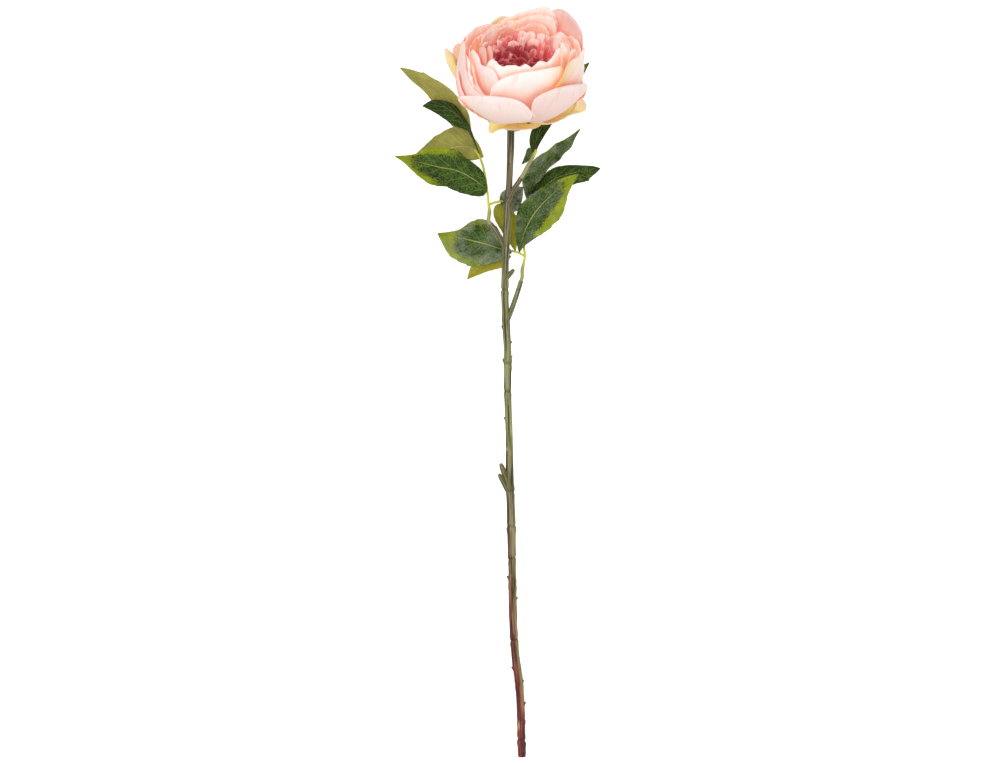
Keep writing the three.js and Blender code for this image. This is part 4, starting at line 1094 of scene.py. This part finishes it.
blush_cloth = petal_material(
    "blush_satin", ("F2C6B2", "F0D0C2", "F0DBD1", "F1E5DD", "F4EEE8"),
    ("E47E62", "EAA088", "EFB8A2", "F2D2C2", "FCF4EC"), "FBBCA2", 0.5, 0.11)
bm = new_bmesh()
lay_core(bm, 3.3, 26, 16)
ring_of_petals(bm, OUTER_SEEN, OUTER_UNSEEN, (12, 6), 2, 0.1)
ring_of_petals(bm, CUP_SEEN, CUP_UNSEEN, (12, 11), 5, 0.2)
ring_of_petals(bm, INNER_SEEN, INNER_UNSEEN, (12, 16), 9, 0.3)
blush = piece_from(bm, "blush_satin_petals", "blush_petals", blush_cloth)
thicken(blush, PETAL_CLOTH, 1)


# --------------------------------------------------------------------------- ruffles
# Dozens of small curled petals in rose satin, pressed with a ball tool and glued inside
# the cup. The picture shows some of them one by one; the rest fill the ring.

CURL_STEPS = 12


def lay_curl(bm, turn, radius, height, root, width, roll, cup, nod, frill, peach, pale, seed):
    """Shapes a grid into a small petal. Its tip is at a turn, a distance from the axis and
    a height; its root has a share of that distance, and a height of its own. Roll turns
    it in its place, cup hollows it, and nod bends its tip outwards."""
    along, across, tone, glow = marks(bm, "along across tone glow")
    tip = Vector((radius * math.sin(turn), -radius * math.cos(turn), height))
    foot = Vector((tip.x * root[0], tip.y * root[0], root[1]))
    axis = tip - foot
    length = axis.length
    axis.normalize()
    outward = Vector((tip.x, tip.y, 0))
    outward = (outward - axis * outward.dot(axis)).normalized()
    outward = Matrix.Rotation(math.radians(roll), 3, axis) @ outward
    sideways = axis.cross(outward)
    places = {}
    for vert in sheet(bm, CURL_STEPS, CURL_STEPS):
        side, s = 2 * vert.co.x, vert.co.y + 0.5
        fall = 0.9 * width / length * (1 - math.sqrt(1 - 0.97 * side * side))
        reach = s * (1 - fall * s ** 3)
        half = width * (0.3 + 0.7 * math.sin(math.pi / 2 * min(s / 0.75, 1)))
        half *= 1 + 0.3 * noise.noise(Vector((s * 4, side + seed, seed * 1.3)))
        crinkle = noise.noise(Vector((side * 1.6 + seed, s * 2, seed * 0.7))) * 2.4 * s * s
        crinkle += noise.noise(Vector((side * 4 + seed, s * 5, seed + 3))) * 1.6 * frill * s ** 2
        place = foot + axis * (length * reach) + sideways * (half * side)
        place += outward * (0.1 * length * math.sin(math.pi * s) - cup * half * side * side
                            + nod * s ** 4 + crinkle)
        vert.co = on_bloom(*place)
        vert[along], vert[across], vert[tone], vert[glow] = s, side, peach, pale
        places[vert] = (side * width / 1000, s * length / 1000)
    map_cloth(bm, places)


# Ruffles seen as tips: column, row and distance from the axis of the tip on the far side,
# half width, peach, how pale, how far the tip nods outwards, and its turn.
RUFFLES_SEEN = [
    (531.5, 32, 31, 4.0, 0.1, 0.5, 1, 10), (541, 34, 30, 3.8, 0.1, 0.5, 2, -20),
    (523.5, 31.5, 33, 3.4, 0.1, 0.6, 2, 15), (521.8, 37.5, 27, 3.0, 0, 0.8, -2, 10),
    (535, 39, 27.5, 5.0, 0.4, 0.1, 1, -10), (513, 41, 28, 4.4, 0.5, 0.3, 1, 10),
    (509, 36, 32, 3.6, 0, -0.7, 1, -30), (514, 35, 31, 3.0, 0, -0.8, 1, 30),
    (499.5, 40, 31, 4.4, 0.1, 0.5, 2, 20), (504, 38, 34, 3.2, 0, -0.5, 1, -20),
    (545, 42, 29, 3.0, 0.2, -0.3, 0, -30), (549, 46, 29, 2.8, 0.1, -0.6, 0, 20),
    (489.5, 42, 33, 3.6, 0.2, -0.5, 0, 0), (493, 46, 30, 3.0, 0, -0.3, 0, 20),
    (552, 51, 29, 3.0, 0.1, -0.9, 0, 0), (495, 50, 28, 3.4, 0, 0.2, 0, -20),
    (500.5, 50.5, 25, 3.0, 0, -0.2, -1, 25), (510, 53, 20, 2.4, 0, -0.5, 0, 60),
    (542, 51, 22, 3.0, 0, -0.8, 1, -25), (534.5, 49.5, 22, 2.6, 0, -0.6, 1, 30),
    (517, 33.5, 35, 3.4, 0.2, -0.2, 1, 0), (526.5, 41, 29, 2.6, 0.2, -0.4, 1, -25),
    (546.5, 35.5, 34, 3.6, 0.5, 0.2, 2, 20), (558, 35.5, 34, 5.4, 0.1, 0.9, 3, -20)]
RUFFLE_ROOT = (0.5, 30)
RUFFLE_FILL = 36
RUFFLE_ROWS = [(34, 0), (30, 4)]    # distance from the axis, and how much lower it stands
RUFFLE_LOW, RUFFLE_RISE = 56, 14    # tips' height at the far side, and the near side's rise


def scatter(k, salt):
    """A fixed number between -1 and 1 for the k-th small petal."""
    return 2 * math.modf(abs(math.sin(12.9898 * k + 78.233 * salt)) * 437.585)[0] - 1


ruffle_cloth = petal_material(
    "ruffle_satin", ("B02C40", "CC4C58", "E2767A", "F2BCB4", "FFEAE2"),
    ("B02C40", "CC4C58", "E27472", "F0B4A8", "FFE8DE"), "E4686C", 0.45, 0.2)
bm = new_bmesh()
lay_core(bm, 24, 33, 12)
for k, (column, row, radius, width, peach, pale, nod, roll) in enumerate(RUFFLES_SEEN):
    angle, _, height = seen_at(column, row, radius, False)
    lay_curl(bm, math.radians(angle), radius, height, RUFFLE_ROOT, width, roll, 0.35, nod, 1.1,
             peach, pale, 0.9 * k)
for k in range(RUFFLE_FILL):
    turn = math.radians(360 * k / RUFFLE_FILL + 6 * scatter(k, 2))
    distance, lower = RUFFLE_ROWS[k % 2]
    near = 0.5 + 0.5 * math.cos(turn)
    height = RUFFLE_LOW + RUFFLE_RISE * near + 2.5 * scatter(k, 4) - lower
    lay_curl(bm, turn, distance + 1.5 * scatter(k, 3), height, RUFFLE_ROOT,
             4.2 + 1.2 * scatter(k, 5), 40 * scatter(k, 6), 0.3, 2 * scatter(k, 7), 1.2,
             0.2 * abs(scatter(k, 8)), 0.4 * scatter(k, 9) - 1, 20 + 0.8 * k)
ruffles = piece_from(bm, "ruffle_satin_petals", "ruffle_petals", ruffle_cloth)
thicken(ruffles, PETAL_CLOTH, 1)


# ----------------------------------------------------------------------------- heart
# The middle is a tuft of small raspberry petals of the same satin, dyed darkest at their
# roots. They stand lower towards the axis.

HEART_COUNT = 56
HEART_RADIUS = 27.5
HEART_LOW, HEART_RISE = 49, 11      # its tips' height at the axis, and the rise from there
HEART_RISE_AT = 27                  # to this distance
HEART_ROOT = (0.4, 37)
GOLDEN_ANGLE = math.pi * (3 - math.sqrt(5))

heart_cloth = petal_material(
    "heart_satin", ("7A1228", "982438", "B23A4A", "C04E58", "D07C7C"),
    ("7A1228", "902034", "AA3444", "B84650", "CA6C6A"), "C02838", 0.35, 0.12)
bm = new_bmesh()
lay_core(bm, 34.5, 44, 8)
for k in range(HEART_COUNT):
    radius = HEART_RADIUS * math.sqrt((k + 0.4) / HEART_COUNT) + 1.2 * scatter(k, 11)
    height = HEART_LOW + HEART_RISE * (radius / HEART_RISE_AT) ** 2 + 2.2 * scatter(k, 12)
    lay_curl(bm, GOLDEN_ANGLE * k, radius, height, HEART_ROOT, 5.4 + 1.2 * scatter(k, 13),
             70 * scatter(k, 14), 0.3, 3 * scatter(k, 15), 1.4, 0, 0.3 * scatter(k, 16),
             60 + 0.7 * k)
hearts = piece_from(bm, "heart_satin_petals", "heart_petals", heart_cloth)
thicken(hearts, PETAL_CLOTH, 1)

SOUNDING_RAYS = 14
SOUNDING_REACH = 0.03       # metres
SOUNDING_START = 0.0006     # metres off the cloth


def sound_depths(pieces):
    """Measures how closely other petals stand over each point of each face, which the satin uses for
    its painted shade and painted glow.
    """
    verts, polygons = [], []
    for piece in pieces:
        start = len(verts)
        verts += [vert.co for vert in piece.data.vertices]
        polygons += [[start + i for i in face.vertices] for face in piece.data.polygons]
    tree = BVHTree.FromPolygons(verts, polygons)
    rays = []
    for k in range(SOUNDING_RAYS):
        share = (k + 0.5) / SOUNDING_RAYS
        rays.append(Vector((math.cos(GOLDEN_ANGLE * k) * math.sqrt(share),
                            math.sin(GOLDEN_ANGLE * k) * math.sqrt(share), math.sqrt(1 - share))))
    for piece in pieces:
        for name, facing in (("deep_outer", 1), ("deep_inner", -1)):
            values = []
            for vert in piece.data.vertices:
                normal = vert.normal * facing
                turn = normal.to_track_quat("Z", "Y")
                start = vert.co + normal * SOUNDING_START
                shut = 0.0
                for ray in rays:
                    distance = tree.ray_cast(start, turn @ ray, SOUNDING_REACH)[3]
                    if distance is not None:
                        shut += 1 - 0.6 * distance / SOUNDING_REACH
                values.append(shut / SOUNDING_RAYS)
            piece.data.attributes[name].data.foreach_set("value", values)


sound_depths([guards, blush, ruffles, hearts])


# ----------------------------------------------------------------------------- calyx
# A green moulded cup with five cloth sepals glued under the guard petals. It holds the
# bloom on the stem's wire.

sepal_cloth, tree, shader = new_material("sepal_cloth", Roughness=0.6, Sheen_Weight=0.2)
colour = coats(dye(clouds(tree, 130).fade(0.35, 0.7), "5C7A30", "86983F"),
               (read(tree, "along").fade(0.6, 1.0), 1, "A7A04E"))
wire(shader, Base_Color=colour, Normal=bump(
    woven(tree, 0.0005), 0.3, 0.0002, bump(threads(tree, SATIN_THREADS), 0.4, 0.0006)))

SEPAL_REACHES = (12, 22, 28, 22, 12)        # millimetres from the axis
SEPAL_FIRST, SEPAL_STEP = 36, 72            # degrees

bm = new_bmesh()
lay_core(bm, -11, -1.8, 7.5)
for k, reach in enumerate(SEPAL_REACHES):
    lay_petal(bm, round_rim(SEPAL_FIRST + SEPAL_STEP * k, 0.42 * reach, reach, -1, 0.2), (6, -8),
              -1, 1, (0, 0, 0, 0), 0.4, 5 + k, drop=-1, columns=16, rows=16)
sepals = piece_from(bm, "green_sepals", "calyx", [sepal_cloth])
thicken(sepals, PETAL_CLOTH, 0)


# -------------------------------------------------------------------- floor and light
# A plain pale surface under soft studio light, seen from straight above.

FLOOR_HALF = 6
FLOOR_GLOW = 0.62           # to the camera alone

floor_paint, tree, shader = new_material("floor_paint", Roughness=0.9,
                                         Base_Color=tint("FBFBFB"), Emission_Color=(1, 1, 1, 1))
wire(shader, Emission_Strength=add(tree, "LightPath", {}, "Is Camera Ray") * FLOOR_GLOW)
bm = bmesh.new()
bmesh.ops.create_grid(bm, x_segments=1, y_segments=1, size=FLOOR_HALF)
mesh = bpy.data.meshes.new("floor")
bm.to_mesh(mesh)
bm.free()
mesh.materials.append(floor_paint)
floor = bpy.data.objects.new("floor", mesh)
bpy.context.scene.collection.objects.link(floor)

world = bpy.data.worlds.new("studio")
world.use_nodes = True
sky = world.node_tree.nodes["Background"]
sky.inputs["Color"].default_value = (1, 1, 1, 1)
sky.inputs["Strength"].default_value = 0.9
bpy.context.scene.world = world

SOFTBOX_AIM = Vector((0, 0.05, 0))
SOFTBOXES = {  # place, size, watts
    "key": ((-0.9, 0.5, 1.5), 1.2, 7),
    "fill": ((1.1, -0.3, 1.3), 1.2, 4.5),
    "strip": ((0.25, 0.0, 1.8), 0.5, 1),
}
for name, (place, size, watts) in SOFTBOXES.items():
    lamp = bpy.data.lights.new(name, "AREA")
    lamp.size = size
    lamp.energy = watts
    box = bpy.data.objects.new(name, lamp)
    box.location = place
    box.rotation_euler = (SOFTBOX_AIM - Vector(place)).to_track_quat("-Z", "Y").to_euler()
    bpy.context.scene.collection.objects.link(box)

CAMERA_HEIGHT = 24.0
FLOWER_HEIGHT = 0.025       # that the picture's scale holds for
PICTURE_WIDTH = 1000
SENSOR_WIDTH = 36
lens = bpy.data.cameras.new("camera")
lens.sensor_width = SENSOR_WIDTH
lens.lens = SENSOR_WIDTH * (CAMERA_HEIGHT - FLOWER_HEIGHT) / (PICTURE_WIDTH * PICTURE_SCALE)
camera = bpy.data.objects.new("camera", lens)
camera.location = (*at(PICTURE_WIDTH / 2, ORIGIN_ROW).xy, CAMERA_HEIGHT)
bpy.context.scene.collection.objects.link(camera)
bpy.context.scene.camera = camera
bpy.context.scene.view_settings.view_transform = "Standard"
